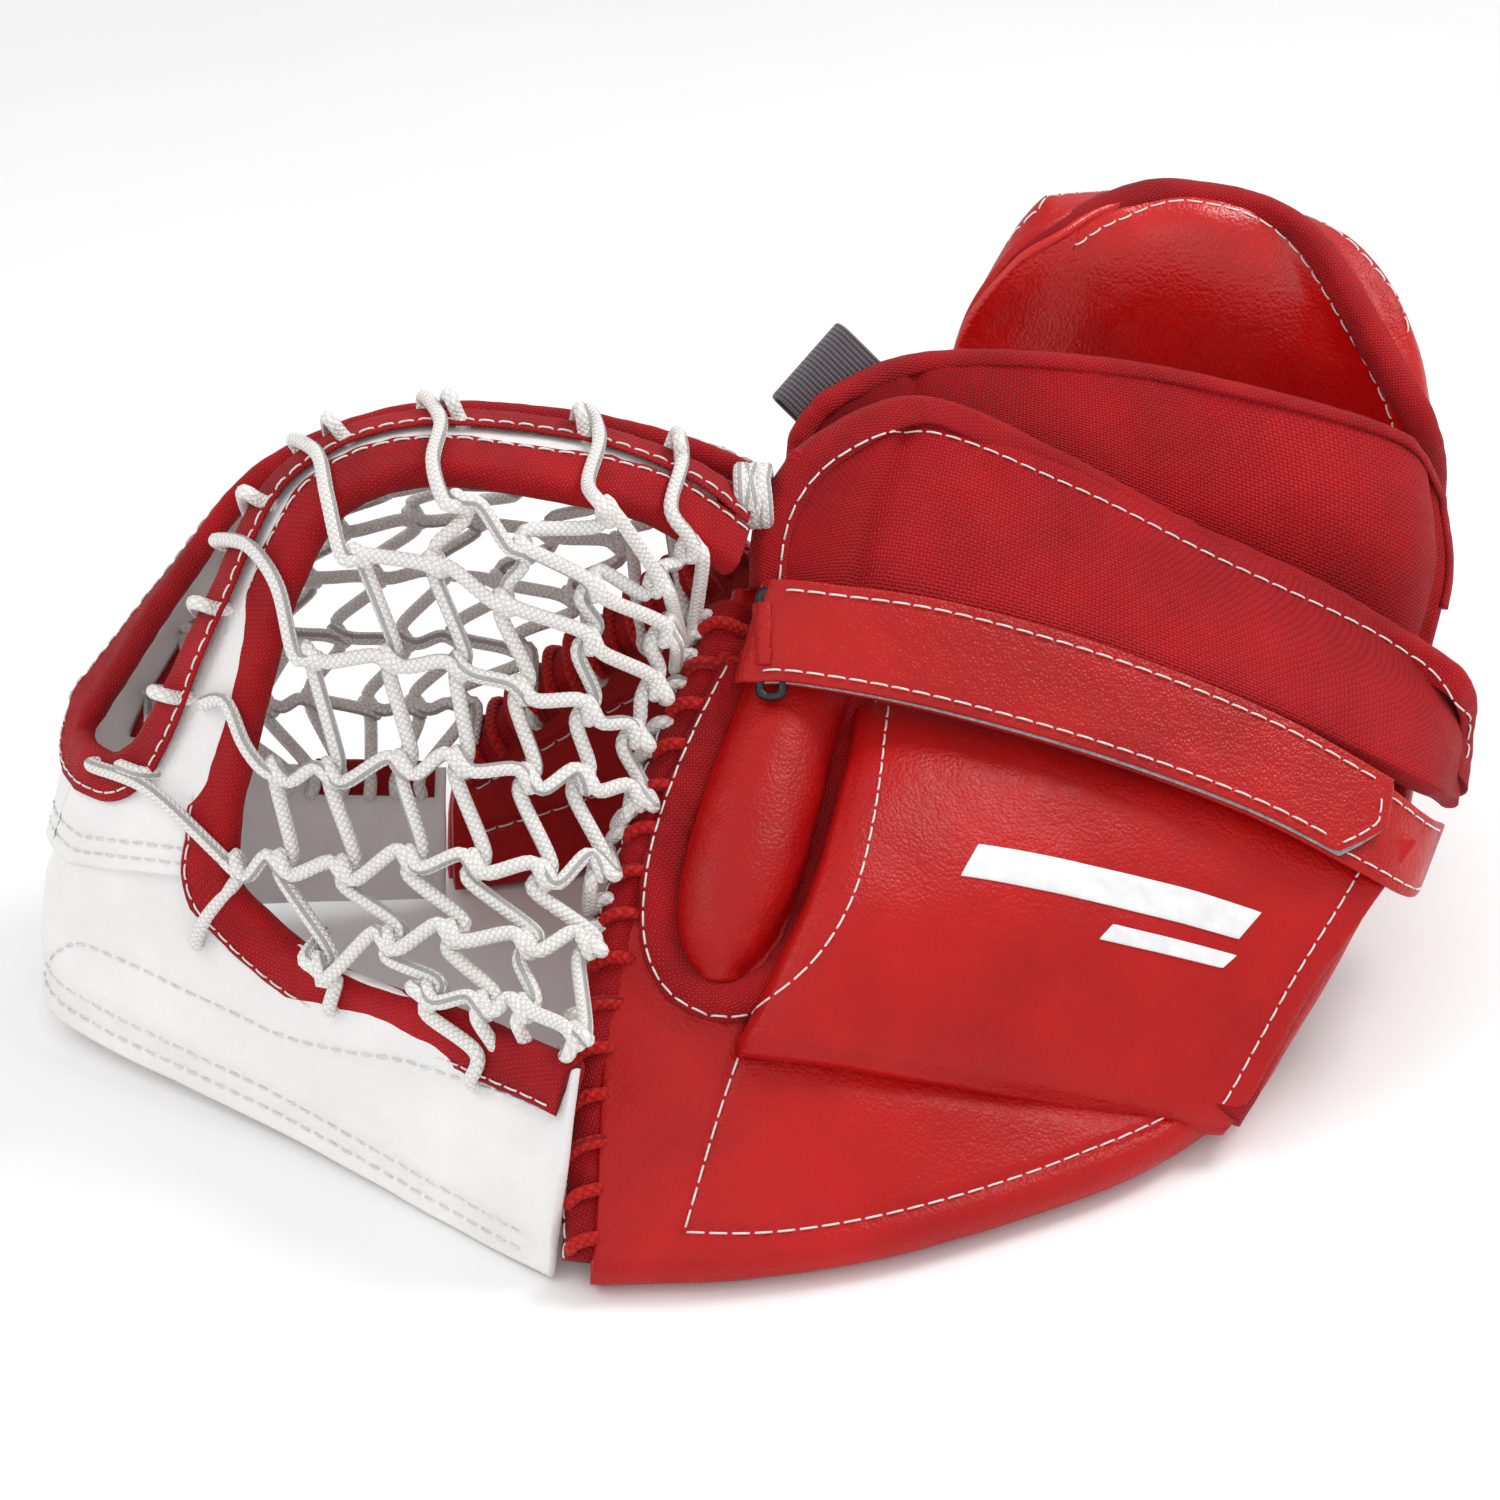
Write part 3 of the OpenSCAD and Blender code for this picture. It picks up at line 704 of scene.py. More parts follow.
RED = leather("red_leather", rgb(188, 13, 12), rgb(162, 8, 9), rgb(200, 34, 28), rough=(0.36, 0.48))
# The cuff lining's leather is glossier than red_leather, and its colours are also set lighter as painted
# light, so the lining reads as lit.
CUFF_RED_PAINTED_LIGHTER = leather("red_cuff_leather_painted_lighter", rgb(204, 14, 12), rgb(176, 8, 8), rgb(216, 40, 32), 800.0, 0.00018,
                   (0.24, 0.36), shine=0.5)
STRAP_RED = leather("red_strap_leather", rgb(186, 20, 18), rgb(156, 12, 13), rgb(206, 52, 44), 1000.0,
                    0.0003, (0.3, 0.44))
NYLON = woven("red_nylon", rgb(192, 10, 24), rgb(154, 5, 15), 0.0011, 0.0004, sheen=0.03)
BINDING = woven("red_binding", rgb(194, 14, 25), rgb(136, 4, 12), 0.001, 0.00036, (0.6, 0.75), 0.03, 0.4)
WHITE = leather("white_leather", rgb(242, 240, 239), rgb(228, 226, 225), rgb(247, 246, 244), 700.0,
                0.0002, (0.4, 0.55))
CORD = braid("white_cord", rgb(250, 248, 245), rgb(226, 220, 214))
LACE = braid("red_lace", rgb(206, 18, 12), rgb(120, 4, 4), 4.0, 1.7, 0.0007)
THREAD = plain("white_thread", rgb(238, 234, 230), rgb(214, 206, 202), (0.55, 0.7), 900.0, 0.0001)
PALE_THREAD = plain("pale_thread", rgb(226, 226, 228), rgb(205, 205, 208), (0.55, 0.65), 300, 0.00005)
LINER = plain("liner", rgb(52, 50, 54), rgb(34, 32, 36), (0.8, 0.95), 600.0, 0.0004, Sheen_Weight=0.4)
STIFF = plain("stiffener", rgb(226, 222, 208), rgb(208, 203, 188), (0.4, 0.55), 200.0, 0.0001)
PLASTIC = plain("black_plastic", rgb(26, 26, 28), rgb(18, 18, 20), (0.28, 0.42), 300.0, 0.00008)
HOOK = plain("hook_and_loop", rgb(38, 38, 42), rgb(18, 18, 20), (0.85, 0.95), 1400.0, 0.0006,
             Sheen_Weight=0.5)
RAW_EDGE = plain("raw_leather", rgb(176, 174, 178), rgb(140, 138, 142), (0.7, 0.9), 500.0, 0.0003)
ELASTIC = ribbed("grey_elastic", rgb(98, 90, 98), rgb(52, 48, 54), 0.0016, 0.0004)
PRINT = plain("badge_print", rgb(240, 240, 240), rgb(226, 226, 228), (0.3, 0.4), 150.0, 0.00006)


# ---- The shapes that pieces are laid on --------------------------------------------------------
FINGER = Surface([
    [[-43, -162, 11], [2, -159, 11], [50, -146, 12], [104, -119, 13], [146, -90, 14]],
    [[-41, -120, 52], [5, -121, 52], [58, -108, 40], [108, -90, 28], [158, -74, 21]],
    [[-30, -78, 87], [14, -73, 84], [66, -60, 67], [124, -50, 51], [180, -42, 38]],
    [[-15, -40, 118], [26, -26, 108], [80, -10, 90], [142, -2, 73], [204, 0, 59]],
    [[-2, -8, 142], [42, 20, 130], [98, 40, 110], [158, 50, 93], [220, 54, 80]]])
HEEL = Surface([
    [[10, 36, 140], [52, 52, 124], [104, 66, 104], [160, 72, 88], [218, 68, 74]],
    [[36, 72, 104], [72, 92, 98], [116, 106, 88], [166, 108, 78], [220, 92, 68]],
    [[52, 98, 58], [88, 122, 56], [128, 136, 52], [174, 132, 50], [222, 106, 54]],
    [[60, 122, 13], [98, 144, 6], [136, 154, 5], [178, 148, 11], [220, 112, 34]]])
BACKHAND = Surface([
    [[2, -131, 62], [48, -116, 50], [100, -101, 33], [152, -92, 19]],
    [[20, -99, 90], [64, -88, 78], [116, -78, 59], [169, -71, 39]],
    [[29, -64, 106], [78, -57, 95], [134, -51, 78], [188, -53, 57]],
    [[34, -30, 116], [88, -27, 107], [148, -25, 92], [204, -35, 69]]])
FLAP = Surface([
    [[3, -13, 145], [38, -11, 143], [96, -8, 127], [156, -12, 105], [208, -16, 80], [226, 2, 60]],
    [[5, -2, 160], [44, 14, 164], [98, 16, 144], [154, 14, 120], [212, 10, 92], [231, 22, 72]],
    [[14, 10, 178], [52, 35, 184], [98, 38, 164], [142, 34, 140], [190, 28, 118], [225, 20, 94]]])
WRIST = Surface([
    [[16, 28, 158], [48, 42, 164], [100, 46, 146], [150, 46, 124], [202, 40, 104], [222, 48, 88]],
    [[16, 36, 170], [50, 52, 176], [100, 56, 166], [150, 56, 150], [206, 50, 132], [228, 62, 110]],
    [[22, 42, 180], [54, 60, 187], [100, 66, 184], [144, 70, 175], [206, 70, 157], [225, 76, 136]]])
CUFF_GRID = [
    [[66, 96, 128], [108, 126, 104], [150, 134, 96], [194, 124, 90], [226, 96, 92]],
    [[70, 108, 170], [110, 136, 150], [150, 143, 146], [194, 134, 134], [226, 98, 120]],
    [[86, 115, 193], [115, 139, 189], [150, 146, 191], [189, 140, 174], [220, 98, 141]],
    [[104, 123, 202], [123, 140, 207], [148, 149, 209], [181, 142, 198], [211, 99, 158]]]
CUFF_IN = Surface(CUFF_GRID)
CUFF_OUT = Surface(CUFF_GRID, -1)
BAND_GRID = [
    [[-58, -157, 1], [-95, -128, 1], [-136, -97, 3], [-172, -73, 5], [-203, -53, 7], [-222, -36, 9],
     [-226, -14, 10], [-216, 6, 10], [-196, 20, 8], [-162, 30, 6], [-132, 36, 3], [-104, 42, 1]],
    [[-54, -150, 32], [-92, -120, 34], [-132, -88, 38], [-168, -66, 42], [-199, -45, 46],
     [-216, -30, 48], [-221, -10, 46], [-211, 11, 42], [-191, 26, 35], [-160, 36, 30],
     [-130, 42, 26], [-103, 46, 26]],
    [[-50, -138, 62], [-86, -110, 62], [-126, -80, 64], [-158, -62, 70], [-191, -43, 79],
     [-206, -28, 80], [-213, -4, 76], [-207, 18, 66], [-189, 32, 54], [-158, 42, 50],
     [-128, 48, 46], [-102, 50, 44]]]
BAND_OUT = Surface(BAND_GRID, -1)
BAND_IN = Surface(BAND_GRID)
TEE_GRID = [
    [[-155, -64, 82], [-184, -48, 89], [-206, -24, 90], [-214, 6, 80], [-198, 34, 64]],
    [[-147, -58, 114], [-169, -46, 119], [-188, -24, 119], [-198, 6, 107], [-188, 38, 86]],
    [[-138, -50, 148], [-154, -38, 151], [-169, -16, 149], [-178, 12, 135], [-170, 44, 112]],
    [[-125, -42, 180], [-136, -22, 184], [-145, 0, 180], [-150, 26, 164], [-142, 52, 138]],
    [[-100, -36, 194], [-104, -12, 198], [-106, 12, 194], [-106, 38, 178], [-104, 62, 152]],
    [[-58, -34, 189], [-58, -8, 194], [-58, 18, 190], [-58, 42, 175], [-56, 66, 150]],
    [[-24, -25, 174], [-22, -6, 182], [-20, 16, 179], [-18, 38, 168], [-16, 62, 146]]]
TEE_FOOT = [[-163, -70, 50], [-198, -48, 54], [-220, -23, 55], [-222, 0, 52], [-209, 18, 47]]
TEE_ROOT = [[2, -22, 150], [6, -4, 160], [8, 14, 163], [10, 34, 157], [10, 58, 139]]
TEE = Surface([TEE_FOOT] + TEE_GRID + [TEE_ROOT], -1, 1, 1)
THUMB_GRID = [
    [[-98, 42, 2], [-46, 58, 2], [2, 80, 5], [44, 108, 12]],
    [[-98, 45, 26], [-54, 56, 40], [-5, 70, 56], [32, 88, 66]],
    [[-97, 47, 44], [-62, 46, 78], [-31, 42, 104], [-4, 39, 130]]]
THUMB_IN = Surface(THUMB_GRID)
THUMB_OUT = Surface(THUMB_GRID, -1)
NEAR_NET = Surface([
    [[-154, -68, 80], [-126, -86, 70], [-90, -112, 67], [-54, -138, 67]],
    [[-146, -62, 118], [-112, -72, 108], [-78, -88, 98], [-46, -100, 84]],
    [[-138, -58, 152], [-100, -62, 146], [-64, -66, 132], [-36, -66, 108]],
    [[-116, -50, 182], [-86, -50, 186], [-48, -48, 178], [-20, -40, 140]]])
FAR_NET = Surface([
    [[-184, 42, 64], [-156, 46, 58], [-124, 52, 54], [-100, 54, 54]],
    [[-178, 52, 92], [-142, 62, 92], [-104, 66, 88], [-64, 58, 88]],
    [[-162, 60, 118], [-124, 72, 122], [-80, 74, 120], [-34, 60, 116]],
    [[-134, 66, 138], [-104, 72, 145], [-56, 76, 142], [-14, 68, 136]]])
STRAP_PATH = Surface([
    [[2, -37, 126], [16, -38, 126], [52, -40, 119], [102, -42, 104], [150, -46, 86], [184, -51, 69],
     [200, -44, 56], [208, -26, 46]],
    [[10, -17, 148], [24, -18, 147], [60, -17, 140], [110, -18, 124], [158, -22, 104],
     [190, -28, 87], [208, -22, 70], [218, -8, 58]]])
FINGER_EDGE = Surface([
    [[-54, -157, 4], [-45, -162, 11]], [[-52, -117, 48], [-43, -121, 53]],
    [[-41, -76, 83], [-32, -79, 88]], [[-26, -38, 113], [-17, -41, 119]],
    [[-12, -9, 136], [-5, -11, 142]]])


def hump(x, low, high, ramp):
    """1 between low and high, falling smoothly to 0 over ramp on either side."""
    rise = np.clip((x - low + ramp) / ramp, 0, 1)
    fall = np.clip((high + ramp - x) / ramp, 0, 1)
    return rise * rise * (3 - 2 * rise) * fall * fall * (3 - 2 * fall)


def crown(s, t, power=0.5):
    """1 in a panel's middle and 0 at its edges, steepest at the edges."""
    return (np.clip(16 * s * (1 - s) * t * (1 - t), 0, 1)) ** power


# ---- Finger side: shell, palm, laced edge ------------------------------------------------------
def shell_low(s, t):
    rim = np.minimum(np.minimum((1 - s) * 26, t * 22), 1)
    return -15.4 + 9.9 * rim**0.8


finger_shell = panel("finger_shell_leather", FINGER, RED, shell_low, 0, size=2.0, rim=7, reach=7.5,
                     sides=(1, 1, 0.2, 0.35), replaces=("finger_shell",))
crumple(finger_shell, 0.5, 34, (1, 1, 0.7), 3.0)
press(finger_shell, BACKHAND.trail([(0.0, -0.01), (0.3, -0.06), (0.6, -0.1), (1.0, -0.17)], 200, -5)[0],
      2.2, 5.0)
finger_palm = panel("finger_palm_leather", FINGER, RED, -15.9, -10.2, (0.025, 0.965), (0.03, 0.99),
                    size=3.2, sides=(1, 1, 0.2, 0.4), replaces=("finger_palm",))
crumple(finger_palm, 0.5, 28, (1, 1, 1), 8.0)

trapezoid = FINGER.trail([(0.225, 0.30), (0.20, 0.22), (0.165, 0.115), (0.135, 0.028)], 90)
hem = FINGER.trail([(0.135, 0.028), (0.3, 0.02), (0.5, 0.022), (0.7, 0.03), (0.88, 0.055), (0.955, 0.14)],
                   300)
side_hem = FINGER.trail([(0.975, 0.14), (0.972, 0.3), (0.965, 0.5), (0.96, 0.62)], 180)
for line in (trapezoid, hem, side_hem):
    press(finger_shell, line[0], 1.1, 1.6, 6.0)
finger_skin = Skin(finger_shell)
stitches("finger_shell_stitches", *trapezoid, finger_skin)
stitches("finger_hem_stitches", *hem, finger_skin)
stitches("finger_side_stitches", *side_hem, finger_skin)

# The laced edge: a fabric strip folded over the shell's edge, with a stitch line on its right
edge_v = [(0.55, 0.0), (0.55, 0.25), (0.55, 0.5), (0.55, 0.75), (0.55, 1.0)]
edge_path, edge_normal = FINGER_EDGE.trail(edge_v, 160)


def finger_fold(width, low, high):
    """Section of the strip that wraps the laced edge: sideways is towards the shell."""
    return [(width, high - 0.6), (width - 0.8, high), (width * 0.4, high + 0.9), (1, high + 1.2),
            (-3.2, high + 0.2), (-5.4, high - 3), (-6.2, (low + high) / 2), (-5.4, low + 3),
            (-3.2, low), (1, low - 0.8), (width * 0.5, low - 0.6), (width, low + 0.6)]


finger_edge = sweep("finger_edge_fabric", edge_path, edge_normal,
                    np.array(finger_fold(6.5, -15.5, 0.6)) * [-1, 1], BINDING,
                    replaces=("finger_edge_binding",))
crumple(finger_edge, 0.7, 6.0, (1, 1, 1), 1.0)
edge_skin = Skin(finger_edge, finger_shell)
edge_side = np.cross(unit(np.gradient(edge_path, axis=0)), edge_normal)
stitches("finger_edge_stitches", edge_path - edge_side * 4.6, edge_normal, edge_skin, 5.6, 4.9)


# ---- Back of the hand --------------------------------------------------------------------------
def backhand_low(s, t):
    left = np.clip(s * 9, 0, 1)
    foot = np.clip(t * 9, 0, 1)
    return -9 - 2.0 * (1 - left) - 3.0 * (1 - foot)


def backhand_high(s, t):
    foot = np.clip(t / 0.17, 0, 1)
    left = np.clip(s / 0.12, 0, 1)
    roll = 5.5 * (1 - np.sqrt(1 - (1 - foot) ** 2)) + 4.0 * (1 - np.sqrt(1 - (1 - left) ** 2))
    return 1.8 + 1.4 * crown(s, np.clip(t * 0.8 + 0.02, 0, 1), 0.5) - roll


backhand_pad = panel("backhand_pad_leather", BACKHAND, RED, backhand_low, backhand_high, (0, 1), (0, 1),
                     size=2.0, rim=7, reach=2.5, sides=(1, 0.4, 0.3, 0.6),
                     warp=lambda s, t: (s, t - 0.16 * s * (1 - t)),
                     replaces=("backhand_pad",))
crumple(backhand_pad, 0.55, 30, (1, 1, 0.8), 12.0)
backhand_edge = binding("backhand_edge_fabric", *BACKHAND.trail([(1.0, -0.13), (1.0, 0.3), (0.99, 0.6),
                        (0.985, 0.9)], 140, -3.5), -1, 9, 3.4, replaces=("backhand_binding",))
pad_skin = Skin(backhand_pad, backhand_edge)
stitches("backhand_edge_stitches", *BACKHAND.trail([(0.953, -0.08), (0.955, 0.3), (0.95, 0.6),
         (0.945, 0.86)], 120), pad_skin, 5.8, 5.0)

# Window over the index finger: a fabric ring round a stuffed leather roll
ring_uv = [(0.042, 0.82), (0.026, 0.70), (0.022, 0.58), (0.03, 0.48), (0.055, 0.395), (0.1, 0.34),
           (0.16, 0.315), (0.215, 0.32), (0.26, 0.36), (0.285, 0.43), (0.29, 0.54), (0.283, 0.68),
           (0.27, 0.82)]
ring_path, ring_normal = FINGER.trail(ring_uv, 260)
ring_section = [(-6.6, -0.5), (-6.4, 1.2), (-5.2, 2.6), (-2.6, 4.2), (0.6, 5.0), (3.4, 4.6), (5.4, 3.0),
                (6.2, 0.8), (6.2, -3.0), (-6.2, -3.0)]
window_edge = sweep("index_window_fabric", ring_path, ring_normal, ring_section, BINDING,
                    replaces=("index_window_binding",))
crumple(window_edge, 0.8, 7.0, (1, 1, 1), 5.0)
window_skin = Skin(window_edge, finger_shell, backhand_pad)
side_ring = frames(ring_path, ring_normal)[2]
stitches("index_window_stitches", ring_path + side_ring * 4.9, ring_normal, window_skin, 5.8, 5.0)


def roll_warp(s, t):
    narrow = np.sqrt(np.clip(1 - (np.clip(0.34 - t, 0, 1) / 0.36) ** 2, 0, 1))
    return 0.5 + (s - 0.5) * np.maximum(narrow, 0.3), t


def roll_high(s, t):
    across = np.clip(1 - (2 * s - 1) ** 2, 0, 1) ** 0.5
    along = np.clip(1 - (np.clip(0.3 - t, 0, 1) / 0.32) ** 2, 0, 1) ** 0.5
    return 0.5 + 14.0 * across * along


index_roll = panel("index_roll_leather", FINGER, RED, -2, roll_high, (0.055, 0.262), (0.35, 0.86),
                   size=1.6, rim=4, warp=roll_warp, replaces=("index_roll",))
crumple(index_roll, 0.35, 16, (1, 1, 1), 21.0)

# Badge bars lie on the pad's own skin
def bar(name, low_u, high_u, low_v, high_v, thick=0.55):
    nu, nv = 48, 8
    s, t = np.meshgrid(np.linspace(0, 1, nu + 1), np.linspace(0, 1, nv + 1))
    s, t = s.ravel(), t.ravel()
    lean = 0.012 * t
    u = low_u + (high_u - low_u) * s + lean
    v = low_v + (high_v - low_v) * t
    n = BACKHAND.normal(u, v)
    foot = pad_skin.seat(BACKHAND.at(u, v), n, -0.3)
    top = foot + n * (thick + 0.3)
    return slab(name, top.reshape(nv + 1, nu + 1, 3), foot.reshape(nv + 1, nu + 1, 3), PRINT, 0.2)


def slab(name, top, foot, material, reach, rim=3, body=HAND, replaces=()):
    """A closed sheet between two grids of points, with edges that stand out by reach."""
    rows, cols = top.shape[:2]
    ids = np.arange(rows * cols).reshape(rows, cols)
    edge = np.concatenate([ids[0, :-1], ids[:-1, -1], ids[-1, :0:-1], ids[:0:-1, 0]])
    a, b = top.reshape(-1, 3), foot.reshape(-1, 3)
    middle = (a + b) / 2
    inner = np.concatenate([ids[1, :-1], ids[:-1, -2], ids[-2, :0:-1], ids[:0:-1, 1]])
    out = unit(middle[edge] - middle[inner])
    rings = []
    for k in range(rim):
        q = math.pi * (k + 1) / (rim + 1)
        rings.append(a[edge] + (b[edge] - a[edge]) * (1 - math.cos(q)) / 2 + out * reach * math.sin(q))
    count, m = rows * cols, len(edge)
    points = np.concatenate([a, *rings, b])
    starts = [edge] + [count + m * k + np.arange(m) for k in range(rim)] + [count + m * rim + edge]
    faces = []
    for j in range(rows - 1):
        for i in range(cols - 1):
            k = ids[j, i]
            faces.append((k, k + 1, k + cols + 1, k + cols))
            k += count + m * rim
            faces.append((k, k + cols, k + cols + 1, k + 1))
    for p, q in zip(starts, starts[1:]):
        for i in range(m):
            j = (i + 1) % m
            faces.append((p[i], q[i], q[j], p[j]))
    x = lengths(top[rows // 2])
    y = lengths(top[:, cols // 2])
    uv = np.stack(np.meshgrid(x, y), -1).reshape(-1, 2) / 1000
    uv = np.concatenate([uv, *[uv[edge]] * rim, uv])
    return make(name, points, faces, material, body, uv, replaces)


bars = [bar("badge_bar_long", 0.28, 0.82, 0.425, 0.52), bar("badge_bar_short", 0.58, 0.82, 0.33, 0.375)]
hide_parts("badge")

# ---- Wrist flap and wrist pad ------------------------------------------------------------------
def cuff_corner(s, t):
    """Rounds the cuff's two top corners."""
    high = np.clip((t - 0.72) / 0.28, 0, 1)
    side = 0.09 * (1 - np.sqrt(np.clip(1 - high**2, 0, 1)))
    return side + (1 - 2 * side) * s, t


def pad_high(most):
    return lambda s, t: most * crown(s, np.clip(t, 0, 1), 0.5)


wrist_flap = panel("wrist_flap_nylon", FLAP, NYLON, -6.5, pad_high(1.8), (0.008, 0.992), (0, 0.985),
                   size=2.0, sides=(0.3, 0.8, 0.8, 0.8), reach=2.5, replaces=("wrist_flap",))
flap_crease = FLAP.trail([(0.175, 0.02), (0.18, 0.4), (0.195, 0.86)], 80)
press(wrist_flap, flap_crease[0], 3.2, 2.4)
crumple(wrist_flap, 0.4, 40, (1, 1, 1), 31.0)
flap_edge_uv = [(0.0, 0.02), (0.0, 0.4), (0.004, 0.75), (0.03, 0.96), (0.09, 1.0), (0.2, 1.0), (0.4, 1.0),
                (0.6, 1.0), (0.8, 1.0), (0.93, 1.0), (0.985, 0.97), (1.0, 0.8), (1.0, 0.4), (1.0, 0.1)]
flap_edge = binding("wrist_flap_edge_fabric", *FLAP.trail(flap_edge_uv, 400, -3.2), 1, 8, 4.0,
                    replaces=("wrist_flap_binding",))
flap_skin = Skin(wrist_flap, flap_edge)
flap_line = FLAP.trail([(0.032, 0.04), (0.032, 0.4), (0.036, 0.66), (0.06, 0.80), (0.1, 0.835),
                        (0.2, 0.845), (0.4, 0.845), (0.6, 0.845), (0.8, 0.845), (0.92, 0.83),
                        (0.968, 0.72), (0.972, 0.3)], 400)
stitches("wrist_flap_stitches", *flap_line, flap_skin, *WIDE_SEAM)

wrist_pad = panel("wrist_pad_nylon", WRIST, NYLON, -6.5, pad_high(1.6), (0.008, 0.992), (0, 0.985),
                  size=2.2, sides=(0.3, 0.8, 0.8, 0.8), reach=2.5, replaces=("wrist_pad",))
for line in ([(0.22, 0.05), (0.215, 0.44), (0.19, 0.96)], [(0.955, 0.05), (0.95, 0.5), (0.94, 0.96)]):
    press(wrist_pad, WRIST.trail(line, 80)[0], 2.8, 2.2)
crumple(wrist_pad, 0.35, 40, (1, 1, 1), 41.0)
wrist_edge_uv = [(0.0, 0.1), (0.0, 0.6), (0.02, 0.95), (0.08, 1.0), (0.3, 1.0), (0.5, 1.0), (0.7, 1.0),
                 (0.9, 1.0), (0.985, 0.97), (1.0, 0.8), (1.0, 0.3)]
binding("wrist_pad_edge_fabric", *WRIST.trail(wrist_edge_uv, 400, -3.2), 1, 3, 3.6,
        replaces=("wrist_pad_binding",))


# ---- Wrist strap, ring and elastic -------------------------------------------------------------
STEP = 1 / 16
RING = np.array([3.0, -30.0, 141.0])
RING_SIDE = unit(np.array([8.0, 20.0, 22.0]))


def strap_sheet(name, u_from, u_to, low, thick, across=(0, 1), chamfer=0.0, curl=0.0, body=HAND,
                material=STRAP_RED, reach=0.9, replaces=(), size=1.6):
    """A length of strap. chamfer slants the lower half of its far end, and curl turns its near end
    under, in degrees, round the ring."""
    span = lengths(STRAP_PATH.at(np.linspace(u_from, u_to, 60), np.full(60, 0.5)))[-1]
    nu, nv = int(span / size), 14
    s, t = np.meshgrid(np.linspace(0, 1, nu + 1), np.linspace(0, 1, nv + 1))
    end = 1 - chamfer * np.clip(1 - 2 * t, 0, 1)
    u = u_from + (u_to - u_from) * s * end
    v = across[0] + (across[1] - across[0]) * t
    n = STRAP_PATH.normal(u, v).reshape(nv + 1, nu + 1, 3)
    base = STRAP_PATH.at(u, v).reshape(nv + 1, nu + 1, 3)
    top, foot = base + n * (low + thick), base + n * low
    if curl:
        turns = np.radians(np.linspace(curl, 0, 16)[:-1])
        along = unit(top[:, 1] - top[:, 0])
        r = 3.4
        hub = foot[:, 0] - n[:, 0] * r
        arc_n = [n[:, 0] * math.cos(q) - along * math.sin(q) for q in turns]
        foot = np.concatenate([np.stack([hub + a * r for a in arc_n], 1), foot], 1)
        top = np.concatenate([np.stack([hub + a * (r + thick) for a in arc_n], 1), top], 1)
    return slab(name, top, foot, material, reach, body=body, replaces=replaces)


strap_under = strap_sheet("strap_lower_leather", 0.01, 0.985, 0.0, 2.2, replaces=("strap_lower",))
strap_sheet("loop_patch_pile", 2 * STEP, 11 * STEP, 2.3, 0.8, (0.14, 0.86), material=HOOK,
            reach=0.1, replaces=("loop_patch",))
strap_sheet("hook_patch_pile", 5 * STEP, 11 * STEP, 3.5, 0.8, (0.14, 0.86), body=STRAP,
            material=HOOK, reach=0.1, replaces=("hook_patch",))
strap_top = strap_sheet("wrist_strap_leather", -0.018, 11.7 * STEP, 5.2, 1.5, chamfer=0.085, curl=80,
                        body=STRAP, replaces=("wrist_strap",))
strap_sheet("wrist_strap_backing", 0.3 * STEP, 11.74 * STEP, 4.4, 0.8, (-0.03, 1.014), chamfer=0.085,
            curl=0, body=STRAP, material=RAW_EDGE, reach=0.3)
top_skin = Skin(strap_top)
for k, v in enumerate((0.085, 0.915)):
    line = STRAP_PATH.trail([(0.2 * STEP, v), (4 * STEP, v), (8 * STEP, v),
                             ((10.75 if k == 0 else 11.45) * STEP, v)],
                            500, 6)
    press(strap_top, line[0], 0.5, 1.3)
    stitches("wrist_strap_stitches_%d" % k, *line, top_skin, *WIDE_SEAM, body=STRAP)
tip_line = STRAP_PATH.trail([(10.75 * STEP, 0.085), (11.15 * STEP, 0.3), (11.45 * STEP, 0.5),
                             (11.45 * STEP, 0.7), (11.45 * STEP, 0.915)], 60, 6)
stitches("wrist_strap_tip_stitches", *tip_line, top_skin, 5.8, 5.0, body=STRAP)
under_skin = Skin(strap_under)
for k, v in enumerate((0.085, 0.915)):
    line = STRAP_PATH.trail([(0.3 * STEP, v), (13 * STEP, v), (14 * STEP, v), (15.5 * STEP, v)], 500, 2)
    stitches("strap_lower_stitches_%d" % k, *line, under_skin, *WIDE_SEAM)

ring_x = np.array([1.0, 0.0, 0.0])
ring_y = unit(RING_SIDE - ring_x * np.dot(RING_SIDE, ring_x))
ring_loop = [(-4.5, -15.5), (-2, -16.2), (1, -15.5), (1.6, -13), (1.6, 0), (1.6, 13), (1, 15.5),
             (-2, 16.2), (-4.5, 15.5), (-5.1, 13), (-5.1, 0), (-5.1, -13), (-4.5, -15.5), (-2, -16.2)]
ring_path = curve([RING + ring_x * (a + 5.0) + ring_y * (b - 4.5) for a, b in ring_loop], 160)
tube("strap_ring_bar", [ring_path], 2.9, PLASTIC, sides=12, replaces=("strap_ring",))
ring_n = np.cross(ring_x, ring_y)
tab_turn = [(3, -4.2), (-3, -3.6), (-5.6, -1.8), (-6.0, 0.6), (-4.0, 2.3), (-1.5, 2.2)]
tab_path = curve([RING + ring_x * (a + 4.5) - ring_y * 2.0 + ring_n * b for a, b in tab_turn], 30)
tab_out = unit(np.cross(unit(np.gradient(tab_path, axis=0)), ring_y))
sweep("strap_ring_tab_leather", tab_path, tab_out,
      [(-9.5, 0.5), (-9, 0.7), (9, 0.7), (9.5, 0.5), (9.5, -0.5), (9, -0.7), (-9, -0.7), (-9.5, -0.5)],
      STRAP_RED, replaces=("strap_ring_tab",))

for node, material in (("finger_board", STIFF),
                       ("heel_board", STIFF), ("cuff_board", STIFF), ("thumb_board", STIFF),
                       ("finger_stalls", LINER), ("thumb_stall", LINER)):
    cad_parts[node].data.materials.clear()
    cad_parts[node].data.materials.append(material)

elastic_x = unit(np.array([0.56, 0.42, 0.5]))
elastic_z = unit(np.cross(elastic_x, [0.7, -0.1, -0.7]))
elastic_y = np.cross(elastic_z, elastic_x)
